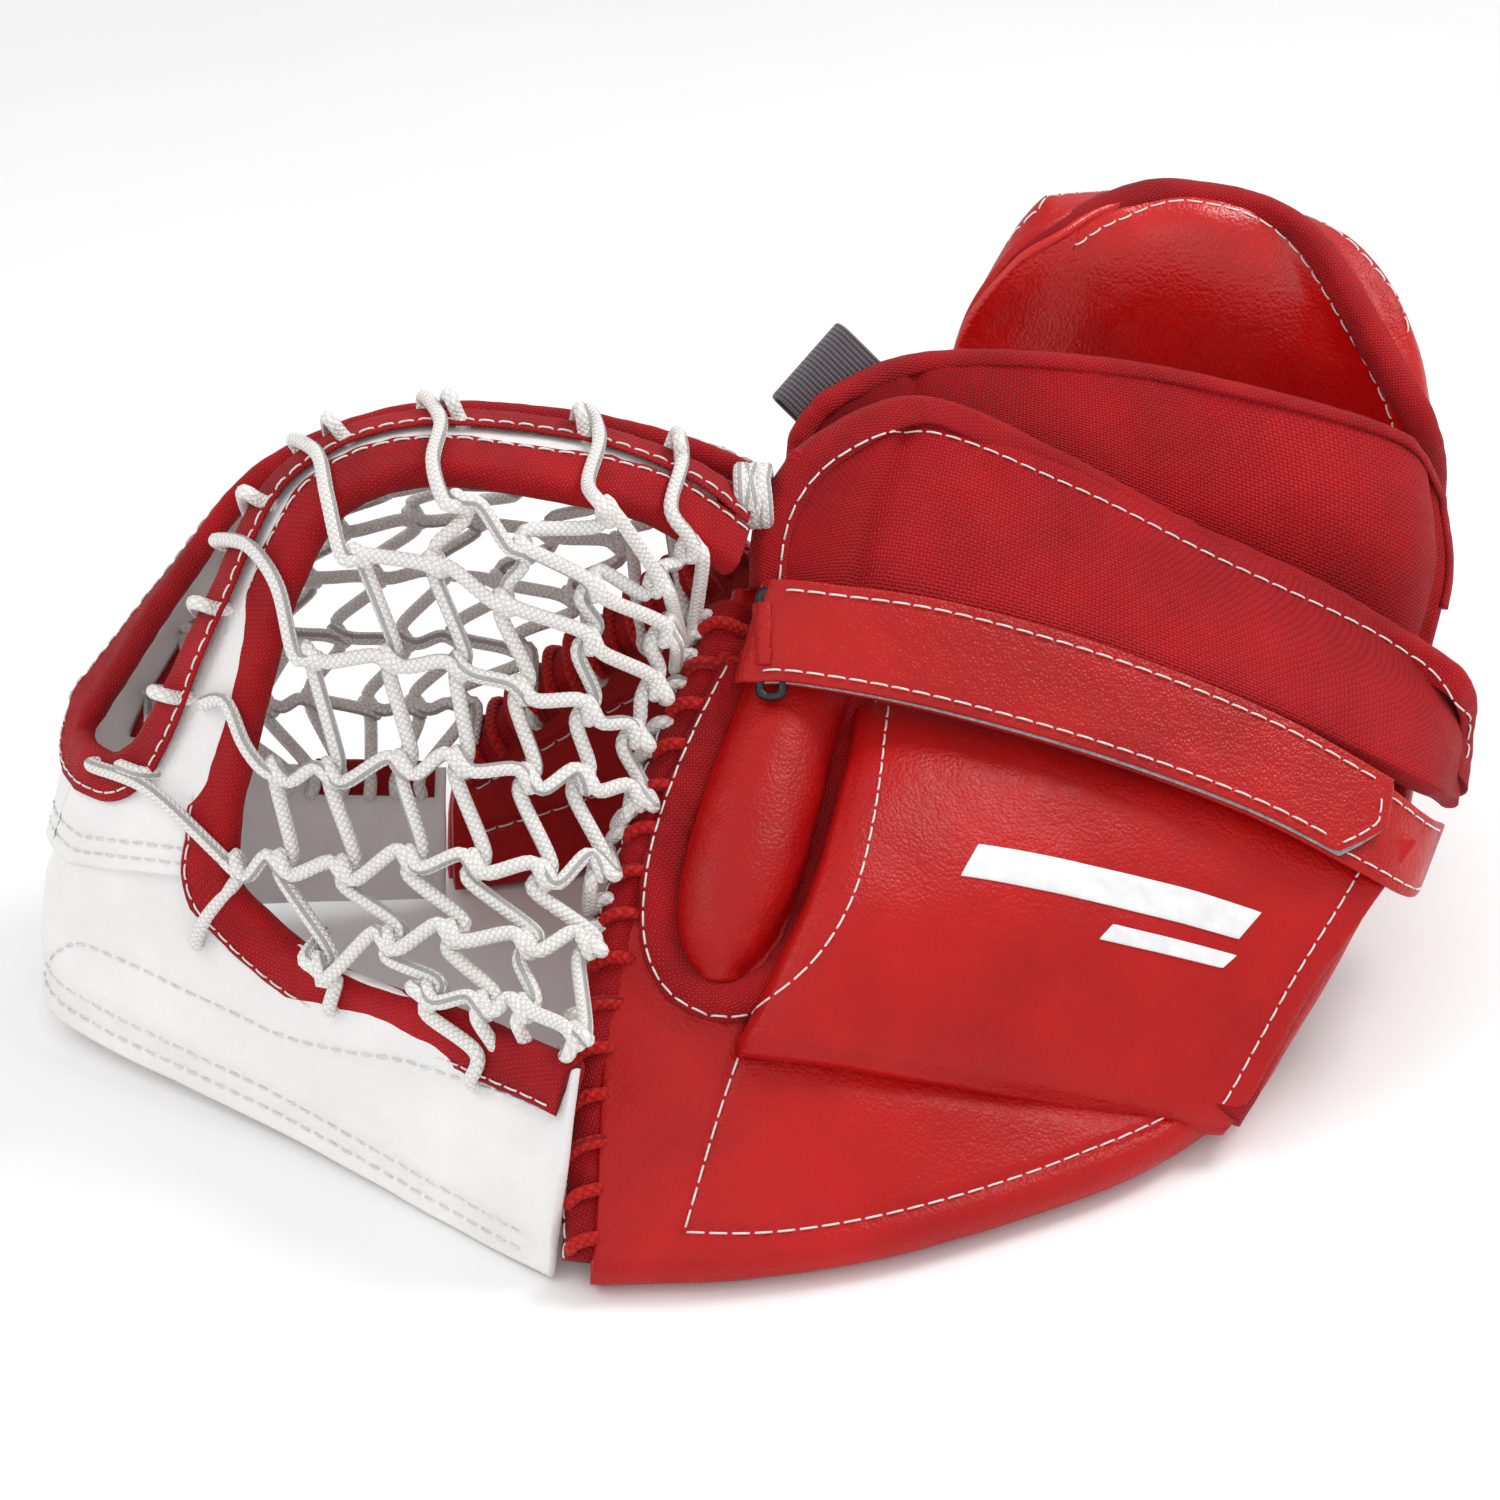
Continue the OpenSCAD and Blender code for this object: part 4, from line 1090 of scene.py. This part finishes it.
# The loop of elastic: it comes out of the wrist pads, turns round, and goes back in
turn = [(-27, -3.2), (-18, -3.3), (-8, -3.3), (0, -3.2), (2.3, -2.3), (3.2, 0), (2.3, 2.3), (0, 3.2),
        (-8, 3.3), (-18, 3.3), (-27, 3.2)]
hub = np.array([20.0, 62.0, 184.0])
elastic_path = np.array([hub - elastic_y * a + elastic_z * b for a, b in turn])
elastic_path = curve(elastic_path, 60)
elastic_out = unit(np.cross(unit(np.gradient(elastic_path, axis=0)), elastic_x))
elastic_section = [(-15.6, 0.55), (-15, 0.8), (15, 0.8), (15.6, 0.55), (15.6, -0.55), (15, -0.8),
                   (-15, -0.8), (-15.6, -0.55)]
fine_section = [elastic_section[0]]
for a, b in zip(elastic_section, elastic_section[1:] + elastic_section[:1]):
    steps = max(1, int(abs(a[0] - b[0]) / 1.5))
    fine_section += [(a[0] + (b[0] - a[0]) * k / steps, a[1] + (b[1] - a[1]) * k / steps)
                     for k in range(1, steps + 1)]
sweep("elastic_strap_webbing", elastic_path, elastic_out, fine_section[:-1], ELASTIC,
      replaces=("elastic_strap",))


# ---- Heel and cuff -----------------------------------------------------------------------------
heel_shell = panel("heel_shell_leather", HEEL, RED, -6.5, 0, size=2.6, rim=5, sides=(0.2, 1, 1, 0.6),
                   reach=4, replaces=("heel_shell",))
crumple(heel_shell, 0.5, 32, (1, 1, 1), 51.0)
heel_palm = panel("heel_palm_leather", HEEL, RED, -15.9, -10.0, (0.02, 0.98), (0.02, 0.98), size=3.2,
                  sides=(0.2, 1, 1, 0.6), replaces=("heel_palm",))
crumple(heel_palm, 0.5, 28, (1, 1, 1), 58.0)
heel_skin = Skin(heel_shell)
heel_hem = HEEL.trail([(0.03, 0.96), (0.3, 0.965), (0.6, 0.965), (0.97, 0.95)], 200)
press(heel_shell, heel_hem[0], 0.8, 1.5, 6.0)
stitches("heel_hem_stitches", *heel_hem, heel_skin)
heel_side = HEEL.trail([(0.96, 0.06), (0.96, 0.4), (0.96, 0.7), (0.955, 0.93)], 160)
press(heel_shell, heel_side[0], 0.8, 1.5, 6.0)
stitches("heel_side_stitches", *heel_side, heel_skin)

def cuff_edge_share(s, t):
    """1 on the cuff's sides and top, falling to 0 a little way in."""
    near = np.minimum(np.minimum(s, 1 - s) / 0.11, (1 - t) / 0.09)
    return (1 - np.clip(near, 0, 1)) ** 1.6


cuff_lining = panel("cuff_lining_leather", CUFF_IN, CUFF_RED_PAINTED_LIGHTER,
                    lambda s, t: -9 + 4.5 * cuff_edge_share(s, t),
                    lambda s, t: 0.2 + 10.0 * crown(s, t, 0.8) - 1.2 * cuff_edge_share(s, t),
                    (0.005, 0.995), (0, 0.975), size=2.0, rim=6, reach=2.0, body=CUFF,
                    replaces=("cuff_lining",), warp=cuff_corner)
crumple(cuff_lining, 0.4, 30, (1, 1, 1), 61.0)
cuff_shell = panel("cuff_shell_leather", CUFF_IN, RED, lambda s, t: -18.6 + 9.8 * cuff_edge_share(s, t),
                   lambda s, t: -12.8 + 7.6 * cuff_edge_share(s, t), (0.02, 0.985), (0, 0.955), size=2.4,
                   rim=5, sides=(0.5, 0.6, 0.5, 0.6), body=CUFF, replaces=("cuff_shell",),
                   warp=cuff_corner)
crumple(cuff_shell, 0.4, 30, (1, 1, 1), 68.0)
cuff_edge_uv = [(0.012, 0.7), (0.03, 0.86), (0.085, 0.95), (0.2, 0.985), (0.35, 0.985),
                (0.5, 0.985), (0.65, 0.985), (0.8, 0.985), (0.915, 0.955), (0.97, 0.86), (0.992, 0.7),
                (0.995, 0.4), (0.995, 0.05)]
cuff_edge = binding("cuff_edge_fabric", *CUFF_IN.trail(cuff_edge_uv, 420, -4.6), 1, 5.5, 4.4, body=CUFF,
                    replaces=("cuff_binding",), taper=60.0)
cuff_skin = Skin(cuff_edge, cuff_lining)
cuff_line = CUFF_IN.trail([(0.10, 0.86), (0.17, 0.915), (0.3, 0.93), (0.5, 0.932), (0.7, 0.93),
                           (0.83, 0.915), (0.915, 0.86), (0.945, 0.7), (0.955, 0.45)], 400)
stitches("cuff_edge_stitches", *cuff_line, cuff_skin, body=CUFF)
cuff_back_skin = Skin(cuff_shell, cuff_edge)
back_line = CUFF_OUT.trail([(0.05, 0.7), (0.09, 0.87), (0.2, 0.905), (0.5, 0.905), (0.8, 0.905),
                            (0.92, 0.86)], 300)
stitches("cuff_back_stitches", *back_line, cuff_back_skin, *WIDE_SEAM, body=CUFF)


# ---- Pocket tee --------------------------------------------------------------------------------
STEM = 0.33
FORK = 0.03


def slot_side(v):
    """Where the slot's near side lies, as a share of the tee, at each height."""
    foot = np.clip((FORK + 0.07 - v) / 0.07, 0, 1)
    inside = 0.5 - (0.5 - STEM) * np.sqrt(np.clip(1 - foot**2, 0, 1))
    return np.where(v < FORK, 0.5, inside)


STEM_TOP = 1.07


def tee_height(u, t):
    """Height on the tee at share t, from its hem on the crossbar to the stems' tops."""
    low = -0.04 - 0.1 * np.clip(u / 0.4, 0, 1)
    return low + (STEM_TOP - low) * t


def near_half(s, t):
    v = tee_height(0.5 * s, t)
    return 0.012 + (slot_side(v) - 0.012 - 0.02 * (v > FORK)) * s, v


def far_half(s, t):
    v = tee_height(0.5 + 0.5 * s, t)
    low = 1 - slot_side(v) + 0.02 * (v > FORK)
    return low + (0.98 - low) * s, v


halves = []
for name, warp, nodes in (("tee_near_leather", near_half, ("tee_base", "near_stem")),
                          ("tee_far_leather", far_half, ("far_stem",))):
    half = panel(name, TEE, WHITE, -4, 0, size=2.0, rim=4, sides=(0.6, 0, 0.6, 0), warp=warp,
                 replaces=nodes)
    crumple(half, 0.35, 26, (1, 1, 1), 71.0)
    halves.append(half)
hem_lines = [TEE.trail([(u, -0.04 - 0.1 * min(u / 0.4, 1) + rise) for u in np.linspace(0.02, 0.98, 14)],
                       400)
             for rise in (0.02, 0.045)]
for half in halves:
    for line in hem_lines:
        press(half, line[0], 0.9, 1.6, 5.6)
hem_skin = Skin(*halves)
for k, line in enumerate(hem_lines):
    stitches("tee_hem_stitches_%d" % k, *line, hem_skin, 5.6, 4.6, 0.34, material=PALE_THREAD)


def edge_band(name, uv, count, flip, reach, half, replaces=()):
    """A binding along a line on the tee."""
    path, normal = TEE.trail(uv, count, -2.0)
    return binding(name, path, normal, flip, reach, half, replaces=replaces)


slot_half = [(0.0, 1.12), (0.0, 0.985), (0.0, 0.8), (0.0, 0.6), (0.0, 0.4), (0.0, 0.25), (0.0, 0.15),
             (0.01, 0.085), (0.05, 0.045), (0.11, FORK + 0.003)]
slot_uv = [(STEM + a, b) for a, b in slot_half] + [(0.5, FORK)]
slot_uv += [(1 - STEM - a, b) for a, b in slot_half[::-1]]
slot_edge = edge_band("slot_edge_fabric", slot_uv, 460, -1, 12, 2.8,
                      replaces=("near_stem_bindings", "far_stem_bindings"))
far_edge_uv = [(0.98, 0.04), (0.98, 0.2), (0.98, 0.4), (0.98, 0.6), (0.98, 0.8), (0.98, 0.98),
               (0.98, 1.12)]
far_edge = edge_band("far_stem_edge_fabric", far_edge_uv, 220, 1, 12, 2.5)

# Window edge: down the near stem, round the corner, and along the top of the near arm
top_v = [1.12, 0.985, 0.85, 0.7, 0.55, 0.4, 0.28, 0.16, 0.08]
corner = np.array([[-155, -62, 85], [-156, -64, 74]])
arm_u = [0.24, 0.2, 0.16, 0.13, 0.09, 0.05, 0.02, 0.0]
arm_v = [0.93, 0.84, 0.82, 0.86, 0.92, 0.94, 0.95, 0.95]
window_path = curve(np.concatenate([TEE.at([0.03] * 9, top_v, -2), corner,
                                    BAND_OUT.at(arm_u, arm_v, -2)]), 420)
window_n = unit(curve(np.concatenate([TEE.normal([0.12] * 9, top_v),
                                      unit(np.array([[-0.55, -0.8, 0.1], [-0.5, -0.85, 0.0]])),
                                      BAND_OUT.normal(arm_u, np.array(arm_v) - 0.15)]), 420))
pocket_edge = binding("pocket_window_fabric", window_path, window_n, 1, 13.5, 3.5,
                      replaces=("near_arm_binding",))

near_edge_skin = Skin(pocket_edge, slot_edge, far_edge)
edge_seams = ((TEE.trail(slot_uv, 460, 0.5), -9.5), ((window_path, window_n), 11.4),
              (TEE.trail(far_edge_uv, 220, 0.5), 9.5))
for k, (edge_line, inset) in enumerate(edge_seams):
    _, n_line, side_line = frames(*edge_line)
    stitches("tee_edge_stitches_%d" % k, edge_line[0] + side_line * inset, n_line, near_edge_skin, 5.8,
             5.0)

# ---- Crossbar band: near arm, tip and far arm in one strip of leather --------------------------
def band_body(piece):
    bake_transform(piece)


def band_shape(s, t):
    """The crossbar's top edge drops a little along the near arm, under the window's edge fabric."""
    drop = np.interp(s, [0, 0.1, 0.17, 0.22, 0.26, 1], [0.05, 0.06, 0.14, 0.1, 0.01, 0])
    return s, t * (1 - drop)


crossbar = panel("crossbar_leather", BAND_OUT, WHITE, -4,
                 lambda s, t: 0.1 + 1.2 * hump(t, 0.2, 0.5, 0.12), (0, 1), (0, 1), size=2.2, rim=5,
                 sides=(1, 0.4, 0.3, 0.4), body=None, warp=band_shape,
                 replaces=("near_arm", "crossbar_tip", "far_arm"))
crumple(crossbar, 0.45, 30, (1, 1, 1), 81.0)
band_rows = []
for row in ([(0.02, 0.04), (0.2, 0.05), (0.4, 0.05), (0.6, 0.05), (0.8, 0.05), (0.97, 0.04)],
            [(0.02, 0.12), (0.2, 0.135), (0.4, 0.135), (0.6, 0.135), (0.8, 0.13), (0.97, 0.12)],
            [(0.01, 0.73), (0.05, 0.7), (0.11, 0.61), (0.155, 0.48), (0.2, 0.4), (0.27, 0.4),
             (0.38, 0.37), (0.43, 0.27), (0.46, 0.16)]):
    line = BAND_OUT.trail(row, 700)
    press(crossbar, line[0], 1.3, 1.8, 5.6)
    band_rows.append(line)
crossbar_skin = Skin(crossbar)
for k, line in enumerate(band_rows):
    seam = stitches("crossbar_stitches_%d" % k, *line, crossbar_skin, 5.6, 4.4, 0.34, body=None,
                    material=PALE_THREAD)
    band_body(seam)
band_body(crossbar)
binding("far_arm_edge_fabric", *BAND_OUT.trail([(0.86, 1.0), (0.9, 1.0), (0.95, 1.0), (0.99, 1.0)],
        120, -2), -1, 9, 2.4, body=THUMB, replaces=("far_arm_binding",))


# ---- Thumb side --------------------------------------------------------------------------------
thumb_palm = panel("thumb_palm_leather", THUMB_IN, RED, -5.5, lambda s, t: 0.1 + 1.0 * crown(s, t),
                   (0, 1), (0, 0.97), size=2.2, sides=(1, 0.6, 0.4, 0.6), body=THUMB,
                   replaces=("thumb_palm",))
thumb_skin = Skin(thumb_palm)
for k, line in enumerate(([(0.05, 0.72), (0.3, 0.74), (0.6, 0.76), (0.95, 0.78)],
                          [(0.05, 0.36), (0.3, 0.36), (0.6, 0.38), (0.95, 0.4)])):
    seam = THUMB_IN.trail(line, 160)
    press(thumb_palm, seam[0], 1.4, 2.2, 6.0)
    stitches("thumb_palm_stitches_%d" % k, *seam, thumb_skin, *WIDE_SEAM, body=THUMB)
crumple(thumb_palm, 0.5, 26, (1, 1, 1), 91.0)


def thumb_bulge(s, t):
    return 19.0 * (np.clip(16 * s * (1 - s) * t * (1 - t), 0, 1)) ** 0.6


thumb_shell = panel("thumb_shell_leather", THUMB_OUT, RED, 9.4, lambda s, t: 15.2 + thumb_bulge(s, t),
                    (0, 1), (0, 0.97), size=2.4, sides=(1, 0.6, 0.4, 0.6), body=THUMB,
                    replaces=("thumb_shell",))
crumple(thumb_shell, 0.6, 30, (1, 1, 1), 95.0)
thumb_shell_skin = Skin(thumb_shell)
for k, line in enumerate(([(0.06, 0.07), (0.3, 0.06), (0.6, 0.06), (0.94, 0.07)],
                          [(0.2, 0.3), (0.4, 0.24), (0.7, 0.26), (0.84, 0.5), (0.7, 0.74), (0.35, 0.72),
                           (0.2, 0.5), (0.2, 0.3)])):
    seam = THUMB_OUT.trail(line, 260)
    press(thumb_shell, seam[0], 1.3, 2.0, 6.0)
    stitches("thumb_shell_stitches_%d" % k, *seam, thumb_shell_skin, *WIDE_SEAM, body=THUMB)
binding("thumb_edge_fabric",
        *THUMB_IN.trail([(0.01, 1.0), (0.3, 1.0), (0.6, 1.0), (0.99, 1.0)], 220, -7.3), 1, 8, 8.0,
        body=THUMB, replaces=("thumb_edge_binding",))


# ---- Soft leather webs between the parts that move ---------------------------------------------
def web(name, low, high, sag):
    """A strip of soft leather from one edge to another, between the two bodies."""
    middle = (low + high) / 2 + np.array(sag, float)
    piece = panel(name, Surface([low, middle, high]), RED, -1.4, 1.4, size=2.6,
                  body=None)
    crumple(piece, 0.6, 22, (1, 1, 1), 97.0)
    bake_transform(piece)


share = np.linspace(0, 1, 7)
web("cuff_web_leather", HEEL.at(0.08 + 0.88 * share, [0.46] * 7, -4.0),
    CUFF_IN.at(0.03 + 0.94 * share, [0.07] * 7, -9.5), (0, 5, -6))
web("thumb_web_leather", THUMB_OUT.at([0.95] * 7, 0.02 + 0.94 * share, 7.5),
    HEEL.at([0.05] * 7, 0.98 - 0.94 * share, -8.5), (0, 3, 0))


# ---- Nets --------------------------------------------------------------------------------------
BIGHT = 4.6


def shove(index, k, size):
    """A small steady offset, different at each junction, so that the cells aren't all alike."""
    return size * math.sin(12.9898 * (index + 1) * (k + 2) + 4.1 * k)


def net_frame(surface, u, v):
    p = surface.at([u], [v])[0]
    du, dv = surface.slopes([u], [v])
    x, n = unit(du[0]), surface.normal([u], [v])[0]
    return p, x, np.cross(n, x), n


def lattice(surface, rows, feet, wobble=0.012):
    """Staircase cords of a net. Each row is (first chain, guide (u, v) pairs, junctions), from the bottom
    row up, and a chain is what hangs together up and down. feet gives the points from the net's edge
    to a hole, for a leg that leaves the net. Each cord takes turns to run across and up, and is tied off
    at a row's first junction where nothing hangs above it."""
    spot = {}
    for j, (first, guide, count) in enumerate(rows):
        line = curve(guide, count) if count > 1 else np.array(guide[:1], float)
        for i, (u, v) in enumerate(line):
            spot[first + i, j] = net_frame(surface, u + shove(i * 7 + j, 1, wobble),
                                           v + shove(i * 5 + j, 2, wobble))

    def knot(k, j, role):
        p, x, y, n = spot[k, j]
        r = CORD_D * 0.5
        a = BIGHT
        steps = [(-1.1 * a, 0.1 * a, r), (-0.1 * a, -0.15 * a, r), (0.5 * a, -0.5 * a, 0.0),
                 (0.2 * a, 0.1 * a, -r), (-0.1 * a, 1.1 * a, -r)]
        if role == "B":
            steps = [(-q[0], -q[1], q[2]) for q in steps][::-1]
        return [p + x * q[0] + y * q[1] + n * q[2] for q in steps]

    paths = []
    starts = [(k, j, "A") for k, j in spot if (k - 1, j) not in spot]
    starts += [(k, j, "B") for k, j in spot if (k, j - 1) not in spot]
    for k, j, role in starts:
        points = list(feet("left" if role == "A" else "bottom", k, j))[::-1]
        tied = False
        while (k, j) in spot and not tied:
            across = role == "A"
            tied = across and (k - 1, j) not in spot and (k, j + 1) not in spot
            points += knot(k, j, role)[:4 if tied else 5]
            where = "top" if across else "right"
            k, j = (k, j + 1) if across else (k + 1, j)
            role = "B" if across else "A"
        if not tied:
            points += feet(where, k, j)
        paths.append(curve(points, max(12, int(lengths(np.array(points))[-1] / 1.3))))
    return paths


def hole_end(surface, u, v, lift=2.4, sink=3.0):
    """Where a cord turns into a punched hole."""
    p, n = surface.at([u], [v])[0], surface.normal([u], [v])[0]
    return [p + n * lift, p - n * sink]


def near_feet(where, k, j):
    if where == "left":
        u, v = ((-0.01, 0.0), (-0.01, 0.0), (0.40, 0.03), (0.18, 0.21), (0.37, 0.40), (0.36, 0.545),
                (0.36, 0.70), (0.37, 0.87), (0.42, 0.985))[j]
        if j < 2:
            b = (0.145, 0.24)[j == 0]
            q = BAND_IN.at([0.10 if j == 0 else 0.19], [0.985], 5.0)[0]
            return [q, q + np.array([-4.0, 4.0, -9.0])]
        middle = TEE.at([u * 0.55], [v + 0.02], 4.4)[0]
        edge_at = TEE.at([0.0], [v + 0.01 - 0.03 * (j < 4)], 5.0)[0]
        return [edge_at, middle, *hole_end(TEE, u, v, 4.6 if u > 0.3 else 2.4)]
    if where == "bottom":
        if k < 3:
            u, v = ((0.275, 0.66), (0.165, 0.66), (0.065, 0.70))[k]
            over = BAND_OUT.at([u - 0.004], [0.86], 4.8)
            return [over[0], *hole_end(BAND_OUT, u, v)]
        v = (0.17, 0.21, 0.25, 0.45, 0.58)[k - 3]
    elif where == "right":
        v = (0.29, 0.41, 0.55, 0.68, 0.73, 0.81, 0.87, 0.92, 0.96)[j]
    else:
        v = 0.9 + 0.03 * (j - 6)
    p = FINGER_EDGE.at([-0.35], [v], 0.5)[0]
    q = FINGER_EDGE.at([0.15], [v + 0.01], 3.2)[0]
    return [p, q, FINGER_EDGE.at([0.4], [v + 0.012], -2.0)[0]]


near_rows = [(2, [(0.66, -0.01), (0.82, 0.03), (1.03, 0.05)], 4),
             (1, [(0.36, -0.06), (0.66, 0.14), (1.02, 0.26)], 5),
             (0, [(0.01, 0.02), (0.45, 0.22), (1.0, 0.45)], 7),
             (1, [(0.08, 0.3), (0.54, 0.5), (1.04, 0.66)], 7),
             (2, [(0.12, 0.66), (0.5, 0.7), (0.98, 0.77)], 6),
             (3, [(0.11, 0.94), (0.56, 0.86), (0.97, 0.88)], 5),
             (4, [(0.35, 1.04), (0.6, 0.95), (0.93, 0.98)], 4), (5, [(0.69, 1.08), (0.89, 1.07)], 2),
             (6, [(0.93, 1.2)], 1)]
near_paths = lattice(NEAR_NET, near_rows, near_feet)
tube("near_net_cords", near_paths, CORD_D, CORD, sides=10, step=1.5, replaces=("near_net",))


def far_feet(where, k, j):
    if where == "left":
        v = (0.08, 0.17, 0.26, 0.36, 0.45)[j]
        over = TEE.at([1.0], [v], 4.8)
        return [over[0], *hole_end(TEE, 0.87, v + 0.01)]
    if where == "bottom":
        u = (0.83, 0.855, 0.885, 0.915, 0.945, 0.975)[k]
        over = BAND_IN.at([u], [0.98], 4.0)
        return [over[0], *hole_end(BAND_IN, u, 0.8, 6.4)]
    if where == "top":
        v = (0.54, 0.64, 0.74, 0.83, 0.91, 0.97)[k]
        over = TEE.at([1.0], [v], 4.8)
        return [over[0], *hole_end(TEE, 0.86, v)]
    v = (0.12, 0.34, 0.56, 0.76, 0.94)[j]
    u = 0.0 + 0.9 * max(0.0, v - 0.1)
    p = THUMB_IN.at([0.02 + u], [1.0], 4.0)[0]
    return [p, THUMB_IN.at([0.03 + u], [0.93], 3.0)[0], THUMB_IN.at([0.035 + u], [0.9], -2.0)[0]]


far_rows = [(0, [(0.08, v), (0.5, v), (0.92, v)], 6) for v in (0.1, 0.3, 0.5, 0.7, 0.9)]
far_paths = lattice(FAR_NET, far_rows, far_feet)
far_net = tube("far_net_cords", far_paths, CORD_D, CORD, body=None, sides=9, step=1.7,
               replaces=("far_net",))
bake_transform(far_net)

# Slot lacing: a cord that zigzags up between the near stem's slot edge and the far stem's outer edge,
# and a chain of loops up the far stem's outer edge
slot_points = []
for k in range(15):
    v = 0.07 + 0.067 * k
    hole, over = (STEM - 0.075, STEM) if k % 2 == 0 else (0.9, 1.0)
    slot_points += [TEE.at([over], [v - 0.014], 5.2)[0],
                    TEE.at([hole], [v - 0.004], 4.6 if k % 2 else 3.2)[0],
                    TEE.at([hole], [v + 0.006], -5.0)[0], TEE.at([over], [v + 0.014], -6.0)[0]]
chain_points = []
for k in range(17):
    v = 0.05 + 0.06 * k
    chain_points += [TEE.at([0.9], [v], 5.4)[0], TEE.at([1.0], [v + 0.028], 5.0)[0],
                     TEE.at([1.045], [v + 0.01], 0.6)[0], TEE.at([1.0], [v - 0.008], 7.6)[0],
                     TEE.at([0.93], [v + 0.03], 7.4)[0]]
tube("slot_lacing_cord", [curve(slot_points, 900), curve(chain_points, 1100)], CORD_D, CORD,
     replaces=("slot_lacing",))


# A wound cord stands in for the bunched cord ends where the stems meet the wrist
root_turns = [(1 + 4 * math.sin(0.37 * a), 4 + 9 * math.cos(0.9 * a),
               168 + 8 * math.sin(0.9 * a)) for a in range(34)]
tube("stem_root_cord", [curve(root_turns, 400)], CORD_D, CORD)


# ---- Red lacing --------------------------------------------------------------------------------
def whip(name, path, normal, side, turns, width, depth, body=HAND, replaces=()):
    """A lace wound over an edge: side points off the edge, and depth is how thick the edge is."""
    along = lengths(path)
    shape = [(-width, 1.6), (-width * 0.4, 2.6), (0.5, 2.6), (3.6, 0.2), (4.6, -depth / 2), (3.6, -depth),
             (0, -depth - 2.2), (-width * 0.6, -depth - 1.6), (-width, -depth * 0.5)]
    points = []
    for k in range(turns):
        for m, (x, y) in enumerate(shape):
            a = along[-1] * (k + 0.15 + 0.85 * m / len(shape)) / turns
            p = np.array([np.interp(a, along, path[:, c]) for c in range(3)])
            n = unit(np.array([np.interp(a, along, normal[:, c]) for c in range(3)]))
            s = unit(np.array([np.interp(a, along, side[:, c]) for c in range(3)]))
            points.append(p + s * x + n * y)
    return tube(name, [curve(points, turns * 60)], LACE_D, LACE, body=body, replaces=replaces)


# The lace winds round the strip's left edge. No holes are made for it
whip("finger_edge_lace", edge_path + edge_side * 1.5, edge_normal, edge_side, 15, 3.6, 14.0,
     replaces=("finger_lacing",))
thumb_lace_path, thumb_lace_n = THUMB_IN.trail([(0.05, 0.99), (0.3, 0.99), (0.6, 0.99), (0.97, 0.99)],
                                               200, 0.6)
_, n_thumb, side_thumb = frames(thumb_lace_path, thumb_lace_n)
up_side = side_thumb if side_thumb[100][2] > 0 else -side_thumb
whip("thumb_edge_lace", thumb_lace_path, n_thumb, up_side, 13, 4.0, 15.0, body=THUMB,
     replaces=("thumb_lacing",))
cuff_lace_points = []
for k in range(14):
    u = 0.06 + 0.068 * k
    v = 0.05 if k % 2 else 0.12
    cuff_lace_points += [CUFF_OUT.at([u - 0.012], [v], 21.0)[0], CUFF_OUT.at([u + 0.012], [v], 21.0)[0]]
tube("cuff_lace", [curve(cuff_lace_points, 400)], LACE_D, LACE, body=CUFF, replaces=("cuff_lacing",))


# ---- Floor and finish --------------------------------------------------------------------------
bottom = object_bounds()[0].z
floor_mesh = bpy.data.meshes.new("floor")
floor_mesh.from_pydata([(-6, -4, bottom), (6, -4, bottom), (6, 9, bottom), (-6, 9, bottom)], [],
                       [(0, 1, 2, 3)])
floor = bpy.data.objects.new("floor", floor_mesh)
bpy.context.collection.objects.link(floor)
floor_mesh.materials.append(plain("floor_paper", (0.975, 0.975, 0.98), (0.965, 0.965, 0.97), (0.75, 0.9),
                                  6.0, 0.0))
